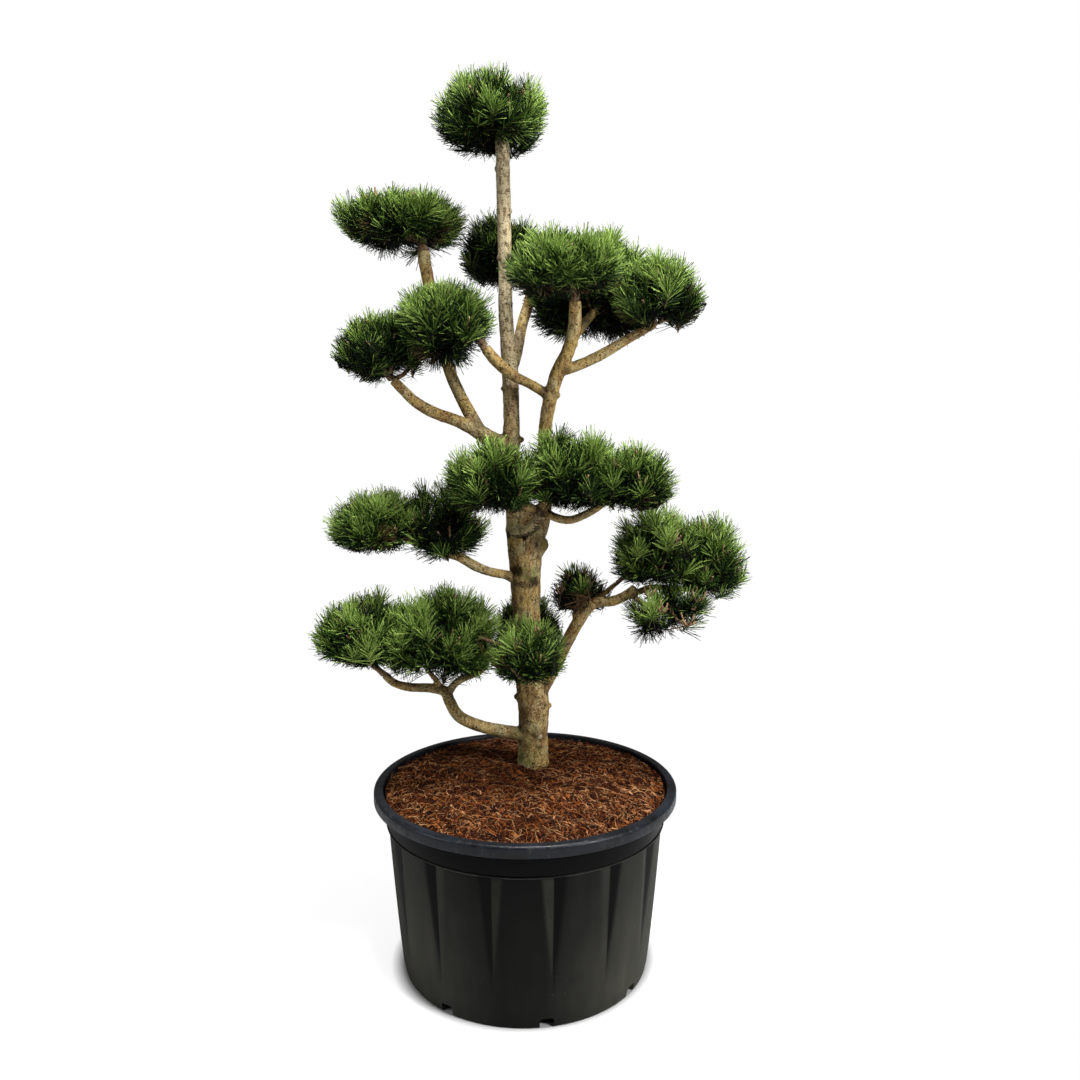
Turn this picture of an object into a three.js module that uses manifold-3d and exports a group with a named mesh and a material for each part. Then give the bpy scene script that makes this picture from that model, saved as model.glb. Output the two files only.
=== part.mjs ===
// Potted lodgepole pine, pruned into clouds: a trunk with layered pads of needles in a round pot.
// Millimetres, +Z up. The origin is the middle of the pot's flat underside, +X is to the
// right of the plant's front and +Y points to its back.

import * as THREE from 'three';
import { mergeVertices } from 'three/addons/utils/BufferGeometryUtils.js';
import Module from 'manifold-3d';

const wasm = await Module();
wasm.setup();

// Clearances
const SEAT = 0.3;
const LIMB_MARGIN = 7;
const SPACE_MARGIN = 0.035;
const WELD = 1e-3;

// Pot
const POT_HEIGHT = 567;
const BASE_RADIUS = 376;
const WALL_TOP_RADIUS = 418;
const WALL_CURVE = 0.8;
const FOOT_EDGE = 6;
const BAND_BOTTOM = 460;
const BAND_RADIUS = 426;
const BAND_TAPER = 4;
const BAND_STEP = 12;
const RIM_BOTTOM = 533;
const RIM_RADIUS = 461;
const RIM_ROLL = 10;
const RIM_UNDERCUT = 6;
const MOUTH_RADIUS = 433;
const LIP_FOOT = 541;
const LIP_SLOPE = 2;
const NECK_RADIUS = 420;
const NECK_TOP = 527;
const NECK_BOTTOM = 430;
const WALL = 7;
const FLOOR = 8;
const FLUTES = 15;
const FLUTE_PHASE = 11.6;
const FLUTE_FOOT = 90;
const FLUTE_DEPTH = 10;
const FLUTE_HALF_ANGLE = 5.5;
const FLUTE_POINT = 0.25;
const STEPS_PER_FLUTE = 4;
const NOTCHES = 8;
const NOTCH_PHASE = 9.8;
const NOTCH_WIDTH = 40;
const NOTCH_HEIGHT = 30;
const NOTCH_DEPTH = 26;

// Soil: the heap is given by radius and height from its edge to the level middle
const SOIL_TOP = 575;
const SOIL_HEAP = [[427, 547], [350, 559], [240, 571], [150, SOIL_TOP]];
const SOIL_GAP = 1.5;
const SOIL_STEPS = 30;

// Limbs
const RING_SPACING = 70;
const BOUGH_SIDES = 6;
const TRUNK_SIDES = 11;
const TRUNK_RING_SPACING = 90;
const FLARE_HEIGHT = 55;
const FLARE_LOBES = 5;
const FLARE_LOBE_DEPTH = 0.04;
const STUB_SIDES = 6;
const STUB_FOOT = 1.2;
const STUB_TIP = 0.9;
const SAMPLE_SPACING = 10;

// Foliage
const FULLNESS = 2.7;
const STEM_RADIUS = 11;
const STEM_SIDES = 5;
const STEM_SPACING = 40;
const STEM_CLEARANCE = 25;
const STEM_BEND = 0.25;
const STEM_TAPER = 0.9;
const TWIG_RADIUS = 5;
const LOWEST_TWIG = -0.35;
const TWIG_OVERLAP = 1.3;
const SPRAY_TURN = 0.38;
const SPRAY_TURN_SPREAD = 0.2;
const SPRAY_LIFT = 0.3;
const SPRAY_ROOT = 0.72;
const SPRAY_FOOT = 9;
const NEEDLE_LENGTH = 112;
const SHORTEST_NEEDLE = 26;
const NEEDLE_STEP = 4;
const TEETH = 3;
const TOOTH_VALLEY = 0.52;
const FAN = 1.25;
const BLADE = 6;
const FORK = 0.35;
const CORE_LUMPS = 0.1;
const CORE_STEP = 0.04;
const SMALLEST_CORE = 0.2;
const GOLDEN_ANGLE = Math.PI * (3 - Math.sqrt(5));

const COLORS = {
  pot: { color: 0x17191b, roughness: 0.45 },
  soil: { color: 0x5a2f1c, roughness: 1.0 },
  bark: { color: 0x8c7a5e, roughness: 0.9 },
  needles: { color: 0x2f4d22, roughness: 0.7 },
};

// Each limb starts inside the limb that carries it. A point is x, y, z and the limb's radius there.
const LIMBS = [
  { name: 'trunk', sides: TRUNK_SIDES, spacing: TRUNK_RING_SPACING, path: [
    [23, 88, 530, 53], [23, 88, 600, 50], [24, 86, 690, 46], [23, 84, 795, 50], [16, 84, 880, 49],
    [8, 82, 988, 46], [2, 80, 1090, 43.5], [0, 80, 1190, 48], [-1, 78, 1262, 52],
    [-6, 74, 1334, 55], [-24, 72, 1415, 38], [-43, 70, 1518, 30], [-41, 70, 1668, 25],
    [-45, 70, 1820, 25], [-56, 70, 1963, 22], [-58, 70, 2131, 20.5], [-63, 70, 2380, 21.5],
    [-66, 70, 2526, 20.5]] },
  { name: 'second_stem', path: [
    [24, 68, 1250, 26], [35, 62, 1308, 25], [53, 50, 1350, 20], [61, 42, 1390, 18],
    [61, 34, 1489, 20], [61, 10, 1650, 20], [93, -10, 1795, 21.5], [127, -20, 1868, 20],
    [144, -40, 1937, 19], [145, -60, 2004, 17]] },
  { name: 'left_bough', path: [
    [-45, 70, 1582, 32], [-91, 66, 1601, 29], [-147, 55, 1638, 23], [-202, 40, 1665, 18.5],
    [-272, 25, 1691, 18], [-321, 15, 1720, 17], [-385, 0, 1784, 14]] },
  { name: 'upper_left_bough', path: [
    [-132, 57, 1627, 21], [-192, 80, 1735, 19], [-230, 100, 1821, 18.5], [-256, 130, 1940, 19],
    [-290, 150, 2062, 19], [-311, 160, 2176, 20]] },
  { name: 'crossing_bough', path: [
    [78, 0, 1735, 16], [16, 0, 1772, 14], [-37, -5, 1798, 16], [-80, -12, 1835, 18],
    [-114, -20, 1874, 16]] },
  { name: 'rear_bough', path: [
    [-45, 72, 1802, 18], [-27, 95, 1863, 18], [-10, 135, 1955, 17], [11, 180, 2030, 17],
    [17, 210, 2076, 15]] },
  { name: 'right_bough', path: [
    [92, -12, 1806, 17], [147, -5, 1822, 16], [220, 5, 1855, 16], [294, 15, 1898, 14.5],
    [382, 25, 1946, 11.5]] },
  { name: 'rear_right_bough', path: [
    [130, -25, 1890, 16], [168, 30, 1941, 14.5], [207, 90, 1989, 13]] },
  { name: 'front_bough', path: [
    [-28, 55, 1332, 20], [-27, 6, 1337, 16], [6, -22, 1344, 15], [34, -40, 1370, 17],
    [51, -70, 1409, 16], [62, -105, 1478, 13]] },
  { name: 'front_left_bough', path: [
    [50, -68, 1402, 13], [11, -95, 1422, 12], [-26, -118, 1441, 10.5]] },
  { name: 'front_right_bough', path: [
    [52, -68, 1406, 13], [90, -85, 1388, 13], [132, -95, 1382, 12], [194, -105, 1409, 11.5],
    [251, -110, 1448, 10.5], [300, -110, 1468, 10]] },
  { name: 'middle_left_bough', path: [
    [-5, 78, 1168, 22], [-56, 55, 1197, 15], [-107, 35, 1211, 14], [-151, 20, 1231, 15.5],
    [-195, 10, 1259, 15], [-263, 0, 1281, 13.5], [-345, -8, 1313, 10.5]] },
  { name: 'middle_left_inner_bough', path: [
    [-256, 1, 1280, 11], [-245, 5, 1304, 9]] },
  { name: 'lower_right_bough', path: [
    [30, 90, 798, 26], [90, 80, 906, 22], [119, 68, 966, 20], [155, 50, 1040, 19],
    [190, 35, 1099, 19], [218, 30, 1119, 17], [263, 20, 1123, 16], [304, 10, 1143, 15],
    [331, 2, 1169, 12]] },
  { name: 'lower_right_inner_bough', path: [
    [159, 50, 1040, 11], [151, 62, 1084, 9]] },
  { name: 'lower_right_upper_bough', path: [
    [205, 33, 1110, 11], [244, 50, 1143, 8.5], [281, 60, 1172, 7.5]] },
  { name: 'lower_right_outer_bough', path: [
    [312, 6, 1140, 10.5], [379, 30, 1162, 10], [447, 40, 1160, 9], [512, 45, 1153, 8]] },
  { name: 'lower_right_hanging_bough', path: [
    [318, 5, 1146, 10], [352, -27, 1126, 8.5]] },
  { name: 'lower_left_bough', path: [
    [10, 85, 678, 25], [-60, 60, 701, 20.5], [-138, 35, 726, 19], [-205, 15, 766, 18.5],
    [-231, 0, 818, 18], [-243, -8, 850, 17], [-288, -20, 864, 14.5], [-346, -35, 871, 13.5],
    [-392, -45, 887, 12.5], [-418, -50, 913, 12]] },
  { name: 'lower_left_inner_bough', path: [
    [-236, -6, 840, 13], [-209, -20, 880, 11.5], [-174, -40, 904, 11], [-136, -65, 926, 10.5],
    [-113, -90, 969, 10], [-124, -105, 1008, 8.5]] },
  { name: 'lower_left_middle_bough', path: [
    [-246, -10, 850, 10], [-272, -20, 892, 8.5], [-298, -25, 927, 7.5]] },
  { name: 'low_rear_bough', path: [
    [12, 88, 880, 20], [8, 130, 922, 16.5], [4, 165, 950, 14]] },
];

// Pruned stubs on the trunk: height, direction round the trunk in degrees, reach and radius.
const STUBS = [
  { height: 1283, turn: -4, reach: 67, radius: 13 },
  { height: 771, turn: -2, reach: 57, radius: 7 },
  { height: 655, turn: -65, reach: 52, radius: 11 },
];

// Each mass keeps to a rounded space: its middle x and y, half widths, lowest and highest points.
// The waist is the share of the height below the widest level. A low core lets its twigs show.
const MASSES = [
  { name: 'top_mass', on: 'trunk', x: -101, y: 70, halfX: 168, halfY: 170, low: 2420, high: 2676,
    waist: 0.5, core: 0.78, twigs: 6 },
  { name: 'upper_left_mass', on: 'upper_left_bough', x: -380, y: 170, halfX: 204, halfY: 185,
    low: 2112, high: 2362, waist: 0.72, core: 0.76, twigs: 5 },
  { name: 'upper_rear_mass', on: 'rear_bough', x: -71, y: 280, halfX: 145, halfY: 150, low: 2076,
    high: 2325, waist: 0.45, core: 0.76, twigs: 4 },
  { name: 'mid_left_outer_mass', on: 'left_bough', x: -418, y: 0, halfX: 139, halfY: 165,
    low: 1748, high: 1998, waist: 0.5, core: 0.78, twigs: 4 },
  { name: 'mid_left_inner_mass', on: 'crossing_bough', x: -223, y: -45, halfX: 150, halfY: 165,
    low: 1764, high: 2074, waist: 0.6, core: 0.76, twigs: 5 },
  { name: 'mid_front_mass', on: 'second_stem', x: 109, y: -90, halfX: 182, halfY: 165, low: 1988,
    high: 2204, waist: 0.5, core: 0.76, twigs: 5 },
  { name: 'right_rear_mass', on: 'rear_right_bough', x: 204, y: 175, halfX: 212, halfY: 165,
    low: 1872, high: 2266, waist: 0.45, core: 0.76, twigs: 4 },
  { name: 'right_outer_mass', on: 'right_bough', x: 387, y: 20, halfX: 137, halfY: 175, low: 1898,
    high: 2170, waist: 0.44, core: 0.76, twigs: 5 },
  { name: 'front_left_mass', on: 'front_left_bough', x: -88, y: -150, halfX: 146, halfY: 135,
    low: 1397, high: 1640, waist: 0.42, core: 0.76, twigs: 4 },
  { name: 'front_centre_mass', on: 'front_bough', x: 136, y: -118, halfX: 140, halfY: 145,
    low: 1398, high: 1660, waist: 0.42, core: 0.78, twigs: 4 },
  { name: 'front_right_mass', on: 'front_right_bough', x: 299, y: -112, halfX: 138, halfY: 145,
    low: 1404, high: 1622, waist: 0.42, core: 0.78, twigs: 4 },
  { name: 'middle_left_outer_mass', on: 'middle_left_bough', x: -448, y: 0, halfX: 142, halfY: 165,
    low: 1270, high: 1480, waist: 0.42, core: 0.76, twigs: 4 },
  { name: 'middle_left_inner_mass', on: 'middle_left_inner_bough', x: -246, y: 15, halfX: 146,
    halfY: 160, low: 1240, high: 1500, waist: 0.42, core: 0.7, twigs: 4 },
  { name: 'lower_right_inner_mass', on: 'lower_right_inner_bough', x: 168, y: 80, halfX: 104,
    halfY: 105, low: 1060, high: 1250, waist: 0.4, core: 0.66, twigs: 3 },
  { name: 'lower_right_upper_mass', on: 'lower_right_upper_bough', x: 393, y: 40, halfX: 148,
    halfY: 170, low: 1150, high: 1442, waist: 0.38, core: 0.7, twigs: 5 },
  { name: 'lower_right_outer_mass', on: 'lower_right_outer_bough', x: 554, y: 50, halfX: 129,
    halfY: 165, low: 1108, high: 1424, waist: 0.4, core: 0.7, twigs: 4 },
  { name: 'lower_right_hanging_mass', on: 'lower_right_hanging_bough', x: 428, y: -50, halfX: 142,
    halfY: 135, low: 968, high: 1216, waist: 0.6, core: 0.62, twigs: 5 },
  { name: 'lower_left_outer_mass', on: 'lower_left_bough', x: -477, y: -50, halfX: 157, halfY: 180,
    low: 941, high: 1180, waist: 0.42, core: 0.78, twigs: 5 },
  { name: 'lower_left_middle_mass', on: 'lower_left_middle_bough', x: -247, y: -40, halfX: 186,
    halfY: 185, low: 868, high: 1190, waist: 0.47, core: 0.76, twigs: 5 },
  { name: 'lower_left_inner_mass', on: 'lower_left_inner_bough', x: 11, y: -140, halfX: 118,
    halfY: 112, low: 908, high: 1122, waist: 0.4, core: 0.72, twigs: 4 },
  { name: 'low_rear_mass', on: 'low_rear_bough', x: 2, y: 240, halfX: 118, halfY: 120, low: 901,
    high: 1128, waist: 0.4, core: 0.72, twigs: 4 },
];

// Seeded numbers from 0 to 1
function seededRandom(seed) {
  let state = seed;
  return () => {
    state = (state + 0x6d2b79f5) | 0;
    let mixed = Math.imul(state ^ (state >>> 15), 1 | state);
    mixed = (mixed + Math.imul(mixed ^ (mixed >>> 7), 61 | mixed)) ^ mixed;
    return ((mixed ^ (mixed >>> 14)) >>> 0) / 4294967296;
  };
}

function vector([x, y, z]) {
  return new THREE.Vector3(x, y, z);
}

function toSolid(geometry) {
  geometry.deleteAttribute('normal');
  geometry.deleteAttribute('uv');
  const merged = mergeVertices(geometry, WELD);
  return new wasm.Manifold(new wasm.Mesh({
    numProp: 3,
    vertProperties: new Float32Array(merged.attributes.position.array),
    triVerts: new Uint32Array(merged.index.array),
  }));
}

function toGeometry(solid) {
  const mesh = solid.getMesh();
  const geometry = new THREE.BufferGeometry();
  geometry.setAttribute('position', new THREE.BufferAttribute(new Float32Array(mesh.vertProperties), 3));
  geometry.setIndex(new THREE.BufferAttribute(new Uint32Array(mesh.triVerts), 1));
  geometry.computeVertexNormals();
  return geometry;
}

function largestBody(solid) {
  const bodies = solid.decompose();
  return bodies.reduce((best, body) => (body.volume() > best.volume() ? body : best));
}

function wallRadius(height) {
  return BASE_RADIUS + (WALL_TOP_RADIUS - BASE_RADIUS) * (height / BAND_BOTTOM) ** WALL_CURVE;
}

function turned(profile, steps) {
  const solid = new THREE.LatheGeometry(profile.map((row) => new THREE.Vector2(...row)), steps);
  solid.rotateX(Math.PI / 2);
  return solid;
}

// Pot: a turned shell with a rolled rim, tapering flutes pressed into the wall and drain notches
function turnedPot() {
  const inside = WALL + FLUTE_DEPTH;
  const wall = [FLUTE_FOOT, BAND_BOTTOM * 0.6, BAND_BOTTOM - BAND_STEP].map(
    (height) => [wallRadius(height), height]);
  const roll = [0, Math.PI / 4, Math.PI / 2].map((turn) => [
    RIM_RADIUS - RIM_ROLL * (1 - Math.cos(turn)), POT_HEIGHT - RIM_ROLL * (1 - Math.sin(turn))]);
  return turned([
    [0, 0], [BASE_RADIUS - FOOT_EDGE, 0], [BASE_RADIUS, FOOT_EDGE], ...wall,
    [BAND_RADIUS - BAND_TAPER, BAND_BOTTOM], [BAND_RADIUS, RIM_BOTTOM + RIM_UNDERCUT],
    [RIM_RADIUS, RIM_BOTTOM], ...roll, [MOUTH_RADIUS, POT_HEIGHT],
    [MOUTH_RADIUS - LIP_SLOPE, LIP_FOOT], [NECK_RADIUS, NECK_TOP],
    [WALL_TOP_RADIUS - inside, NECK_BOTTOM], [BASE_RADIUS - inside, FLOOR], [0, FLOOR],
  ], FLUTES * STEPS_PER_FLUTE);
}

function pressFlutes(shell) {
  const position = shell.attributes.position;
  const pitch = 360 / FLUTES;
  for (let i = 0; i < position.count; i += 1) {
    const x = position.getX(i);
    const y = position.getY(i);
    const z = position.getZ(i);
    const radius = Math.hypot(x, y);
    const step = Math.round(THREE.MathUtils.radToDeg(Math.atan2(x, -y)) / pitch * STEPS_PER_FLUTE);
    const column = ((step % STEPS_PER_FLUTE) + STEPS_PER_FLUTE) % STEPS_PER_FLUTE;
    const rise = THREE.MathUtils.clamp((z - FLUTE_FOOT) / (BAND_BOTTOM - FLUTE_FOOT), 0, 1);
    const onWall = z >= FLUTE_FOOT && z < BAND_BOTTOM && radius > wallRadius(z) - WALL / 2;
    let turn = step * pitch / STEPS_PER_FLUTE;
    let pressed = radius;
    const halfAngle = FLUTE_HALF_ANGLE * THREE.MathUtils.lerp(FLUTE_POINT, 1, rise);
    if (onWall && column === 0) pressed -= FLUTE_DEPTH * rise;
    if (onWall && column === 1) turn += halfAngle - pitch / STEPS_PER_FLUTE;
    if (onWall && column === STEPS_PER_FLUTE - 1) turn -= halfAngle - pitch / STEPS_PER_FLUTE;
    const angle = THREE.MathUtils.degToRad(turn + FLUTE_PHASE);
    position.setXYZ(i, pressed * Math.sin(angle), -pressed * Math.cos(angle), z);
  }
}

function potSolid() {
  const shell = turnedPot();
  pressFlutes(shell);
  let pot = toSolid(shell);
  for (let i = 0; i < NOTCHES; i += 1) {
    const notch = new THREE.BoxGeometry(NOTCH_WIDTH, NOTCH_DEPTH * 2, NOTCH_HEIGHT * 2);
    notch.translate(0, -BASE_RADIUS, 0);
    notch.rotateZ(THREE.MathUtils.degToRad(NOTCH_PHASE + i * 360 / NOTCHES));
    pot = pot.subtract(toSolid(notch));
  }
  return pot;
}

// Soil: fills the pot to just under the rim, heaped to a level plateau round the trunk
function soilSolid() {
  const inside = WALL + FLUTE_DEPTH + SOIL_GAP;
  return toSolid(turned([
    [0, FLOOR + SEAT], [BASE_RADIUS - inside, FLOOR + SEAT], [WALL_TOP_RADIUS - inside, NECK_BOTTOM],
    [NECK_RADIUS - SOIL_GAP, NECK_TOP], [MOUTH_RADIUS - LIP_SLOPE - SOIL_GAP, LIP_FOOT + SOIL_GAP],
    ...SOIL_HEAP, [0, SOIL_TOP],
  ], SOIL_STEPS));
}

// Limb: a cylinder laid along a curve through its points, tapering from point to point
function limbCurve(limb) {
  return new THREE.CatmullRomCurve3(limb.path.map(vector), false, 'centripetal');
}

function limbRadius(limb, share) {
  const place = share * (limb.path.length - 1);
  const index = Math.min(Math.floor(place), limb.path.length - 2);
  return THREE.MathUtils.lerp(limb.path[index][3], limb.path[index + 1][3], place - index);
}

function limbSolid(limb, clearance = 0) {
  const curve = limbCurve(limb);
  const rings = Math.max(2, Math.round(curve.getLength() / (limb.spacing ?? RING_SPACING)));
  const sides = limb.sides ?? BOUGH_SIDES;
  const { tangents, normals, binormals } = curve.computeFrenetFrames(rings);
  const shape = new THREE.CylinderGeometry(1, 1, 1, sides, rings);
  const position = shape.attributes.position;
  const point = new THREE.Vector3();
  for (let i = 0; i < position.count; i += 1) {
    const ring = Math.round((position.getY(i) + 0.5) * rings);
    const share = curve.getUtoTmapping(ring / rings);
    curve.getPoint(share, point);
    let radius = limbRadius(limb, share) + clearance;
    const across = position.getX(i);
    const along = position.getZ(i);
    if (limb.name === 'trunk') radius *= rootFlare(point.z, Math.atan2(across, along));
    const end = ring === rings ? clearance : 0;
    point.addScaledVector(binormals[ring], across * radius);
    point.addScaledVector(normals[ring], along * radius);
    point.addScaledVector(tangents[ring], end);
    position.setXYZ(i, point.x, point.y, point.z);
  }
  return toSolid(shape);
}

function rootFlare(height, turn) {
  const strength = THREE.MathUtils.clamp(1 - (height - SOIL_TOP) / FLARE_HEIGHT, 0, 1);
  return 1 + strength * FLARE_LOBE_DEPTH * (1 + Math.cos(turn * FLARE_LOBES));
}

function stubSolid(trunk, stub, clearance) {
  const curve = limbCurve(trunk);
  let middle = curve.getPoint(0);
  for (let share = 0; share < 1; share += 0.005) {
    const point = curve.getPoint(share);
    if (Math.abs(point.z - stub.height) < Math.abs(middle.z - stub.height)) middle = point;
  }
  const turn = THREE.MathUtils.degToRad(stub.turn);
  const out = vector([Math.cos(turn) * stub.reach, Math.sin(turn) * stub.reach, stub.radius]);
  const tip = middle.clone().add(out);
  return limbSolid({ name: 'stub', sides: STUB_SIDES, spacing: stub.reach, path: [
    [...middle.toArray(), stub.radius * STUB_FOOT], [...tip.toArray(), stub.radius * STUB_TIP],
  ] }, clearance);
}

function trunkSolid(trunk, clearance = 0) {
  let solid = limbSolid(trunk, clearance);
  for (const stub of STUBS) solid = solid.add(stubSolid(trunk, stub, clearance));
  const [x, y, foot, radius] = trunk.path[0];
  const ground = SOIL_TOP + SEAT;
  const below = new THREE.BoxGeometry(radius * 4, radius * 4, (ground - foot) * 2);
  below.translate(x, y, foot);
  return solid.subtract(toSolid(below));
}

// The boughs are cut off level with the limbs that come before them in the list
function limbSolids() {
  const solids = new Map();
  const swollen = [];
  for (const limb of LIMBS) {
    const makeSolid = limb.name === 'trunk' ? trunkSolid : limbSolid;
    let solid = makeSolid(limb);
    for (const earlier of swollen) solid = solid.subtract(earlier);
    solids.set(limb.name, largestBody(solid));
    swollen.push(makeSolid(limb, SEAT));
  }
  return { solids, swollen };
}

// Points along the limbs with the radius there, to keep the foliage off the wood
function limbSamples(limbs) {
  return limbs.flatMap((limb) => {
    const curve = limbCurve(limb);
    const count = Math.ceil(curve.getLength() / SAMPLE_SPACING);
    return Array.from({ length: count + 1 }, (unused, i) => ({
      point: curve.getPoint(i / count), radius: limbRadius(limb, i / count), limb: limb.name }));
  });
}

function spaceOf(mass) {
  const middle = THREE.MathUtils.lerp(mass.low, mass.high, mass.waist);
  return { middle: vector([mass.x, mass.y, middle]), above: mass.high - middle, below: middle - mass.low };
}

// The length of an offset by the rule of the spaces, which are fuller than an ellipsoid
function roundness(...offsets) {
  return offsets.reduce((sum, offset) => sum + Math.abs(offset) ** FULLNESS, 0) ** (1 / FULLNESS);
}

// How far out a point lies in a mass's space: 0 in the middle, 1 at its edge
function reachIn(mass, point) {
  const { middle, above, below } = spaceOf(mass);
  const rise = point.z - middle.z;
  return roundness((point.x - mass.x) / mass.halfX, (point.y - mass.y) / mass.halfY,
    rise / (rise > 0 ? above : below));
}

function staysInSpace(mass, point) {
  const reach = reachIn(mass, point);
  return reach <= 1.001 && MASSES.every((other) => other === mass
    || reachIn(other, point) > reach + SPACE_MARGIN);
}

function touchesLimb(from, to, samples) {
  const near = new THREE.Vector3();
  const line = new THREE.Line3(from, to);
  return samples.some(({ point, radius }) => line.closestPointToPoint(point, true, near)
    .distanceTo(point) < radius + LIMB_MARGIN);
}

// A three-sided twig that tapers from its root to its tip
function twigSolid(root, tip, radius) {
  const length = root.distanceTo(tip);
  const shape = new THREE.ConeGeometry(radius, length, 3);
  shape.translate(0, length / 2, 0);
  const turn = new THREE.Quaternion().setFromUnitVectors(
    vector([0, 1, 0]), tip.clone().sub(root).normalize());
  shape.applyQuaternion(turn);
  shape.translate(root.x, root.y, root.z);
  return toSolid(shape);
}

// Directions spread evenly by the golden angle, from straight up to a little below level
function evenDirections(count, lowest, turn) {
  return Array.from({ length: count }, (unused, i) => {
    const height = 1 - (i + 0.5) / count * (1 - lowest);
    const flat = Math.sqrt(1 - height * height);
    const angle = turn + i * GOLDEN_ANGLE;
    return vector([flat * Math.cos(angle), flat * Math.sin(angle), height]);
  });
}

function pointAt(mass, direction, reach) {
  const { middle, above, below } = spaceOf(mass);
  return vector([direction.x * mass.halfX, direction.y * mass.halfY,
    direction.z * (direction.z > 0 ? above : below)])
    .multiplyScalar(reach / roundness(...direction.toArray())).add(middle);
}

// The clipped heart of a mass, lumpy and drawn in wherever a neighbour is close
function coreSolid(mass, random) {
  const shape = new THREE.IcosahedronGeometry(1, 1);
  shape.deleteAttribute('normal');
  shape.deleteAttribute('uv');
  const ball = mergeVertices(shape, WELD);
  const position = ball.attributes.position;
  for (let i = 0; i < position.count; i += 1) {
    const direction = new THREE.Vector3().fromBufferAttribute(position, i);
    let reach = mass.core * (1 + CORE_LUMPS * (2 * random() - 1));
    while (reach > SMALLEST_CORE
      && !staysInSpace(mass, pointAt(mass, direction, reach + CORE_STEP))) reach -= CORE_STEP;
    const point = pointAt(mass, direction, reach);
    position.setXYZ(i, point.x, point.y, point.z);
  }
  return toSolid(ball);
}

// How long a needle can grow this way from its root and still keep to the mass's own space
function needleLength(mass, root, direction, longest) {
  let length = longest;
  const tip = () => root.clone().addScaledVector(direction, length);
  while (length > 0 && !staysInSpace(mass, tip())) length -= NEEDLE_STEP;
  return length;
}

// A spray: a fan-shaped blade toothed with needles, its root sunk in the core. Null where the
// fan would be too short or would touch a limb.
function spraySolid(mass, root, outward, random, samples) {
  const side = vector([outward.y, -outward.x, 0.1]).cross(outward).normalize();
  side.applyAxisAngle(outward, random() * Math.PI);
  const aim = (turn) => outward.clone().multiplyScalar(Math.cos(turn))
    .addScaledVector(side, Math.sin(turn));
  const turns = Array.from({ length: TEETH }, (unused, i) => FAN * (i / (TEETH - 1) - 0.5));
  const lengths = turns.map((turn) => (
    needleLength(mass, root, aim(turn), NEEDLE_LENGTH * (0.85 + 0.3 * random()))));
  const blocked = turns.some((turn, i) => lengths[i] < SHORTEST_NEEDLE
    || touchesLimb(root, root.clone().addScaledVector(aim(turn), lengths[i]), samples));
  if (blocked) return null;
  const corner = (turn, length) => new THREE.Vector2(Math.sin(turn) * length, Math.cos(turn) * length);
  const outline = [new THREE.Vector2(-SPRAY_FOOT, -SPRAY_FOOT)];
  turns.forEach((turn, i) => {
    outline.push(corner(turn, lengths[i]));
    if (i === TEETH - 1) return;
    const valley = TOOTH_VALLEY * Math.min(lengths[i], lengths[i + 1]);
    outline.push(corner((turn + turns[i + 1]) / 2, valley));
  });
  outline.push(new THREE.Vector2(SPRAY_FOOT, -SPRAY_FOOT));
  const blade = new THREE.ExtrudeGeometry(new THREE.Shape(outline), { depth: BLADE, bevelEnabled: false });
  blade.translate(0, 0, -BLADE / 2);
  const square = side.clone().cross(outward);
  blade.applyMatrix4(new THREE.Matrix4().makeBasis(side, outward, square).setPosition(root));
  return toSolid(blade);
}

// A mass's stem grows on from its bough's tip to the middle of the mass
function stemOf(mass) {
  const { middle } = spaceOf(mass);
  const carrier = LIMBS.find((limb) => limb.name === mass.on);
  const curve = limbCurve(carrier);
  const foot = curve.getPoint(1);
  const bend = foot.clone().addScaledVector(curve.getTangent(1), foot.distanceTo(middle) * STEM_BEND);
  const radius = Math.min(STEM_RADIUS, carrier.path.at(-1)[3] * STEM_TAPER);
  return { name: `stem of ${mass.name}`, sides: STEM_SIDES, spacing: STEM_SPACING, path: [
    [...foot.toArray(), radius], [...bend.toArray(), radius * STEM_TAPER],
    [...middle.toArray(), radius * STEM_TAPER ** 2]] };
}

// A mass: its stem, forking twigs, a spray on each, and the core that they stand out of
function growMass(mass, seed, stems, swollenLimbs) {
  const random = seededRandom(seed);
  const { middle } = spaceOf(mass);
  const stem = stems[MASSES.indexOf(mass)];
  const foot = vector(stem.path[0]);
  const otherStems = stems.filter((other) => other !== stem);
  const others = limbSamples([...LIMBS, ...otherStems]).filter(({ limb, point }) => (
    limb !== mass.on || point.distanceTo(foot) > STEM_CLEARANCE));
  const parts = [coreSolid(mass, random), limbSolid(stem)];
  for (const direction of evenDirections(mass.twigs, LOWEST_TWIG, random() * Math.PI)) {
    const fork = pointAt(mass, direction, FORK);
    if (touchesLimb(middle, fork, others)) continue;
    parts.push(twigSolid(middle, pointAt(mass, direction, FORK * TWIG_OVERLAP), TWIG_RADIUS));
    const offset = vector([-direction.y, direction.x, 0.2]).normalize();
    for (const way of [-1, 1]) {
      const turn = way * (SPRAY_TURN + SPRAY_TURN_SPREAD * random());
      const aim = direction.clone().addScaledVector(offset, turn).normalize();
      const root = pointAt(mass, aim, SPRAY_ROOT * mass.core);
      if (!staysInSpace(mass, root) || touchesLimb(fork, root, others)) continue;
      parts.push(twigSolid(fork, root, TWIG_RADIUS));
      const outward = root.clone().sub(middle).normalize();
      outward.add(vector([0, 0, SPRAY_LIFT * random()])).normalize();
      const spray = spraySolid(mass, root, outward, random, others);
      if (spray) parts.push(spray);
    }
  }
  let solid = parts.reduce((joined, part) => joined.add(part));
  for (const limb of swollenLimbs) solid = solid.subtract(limb);
  for (const other of otherStems) solid = solid.subtract(limbSolid(other, SEAT));
  return largestBody(solid);
}

function finish(name, look) {
  return new THREE.MeshStandardMaterial({ name, ...COLORS[look], metalness: 0 });
}

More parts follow.
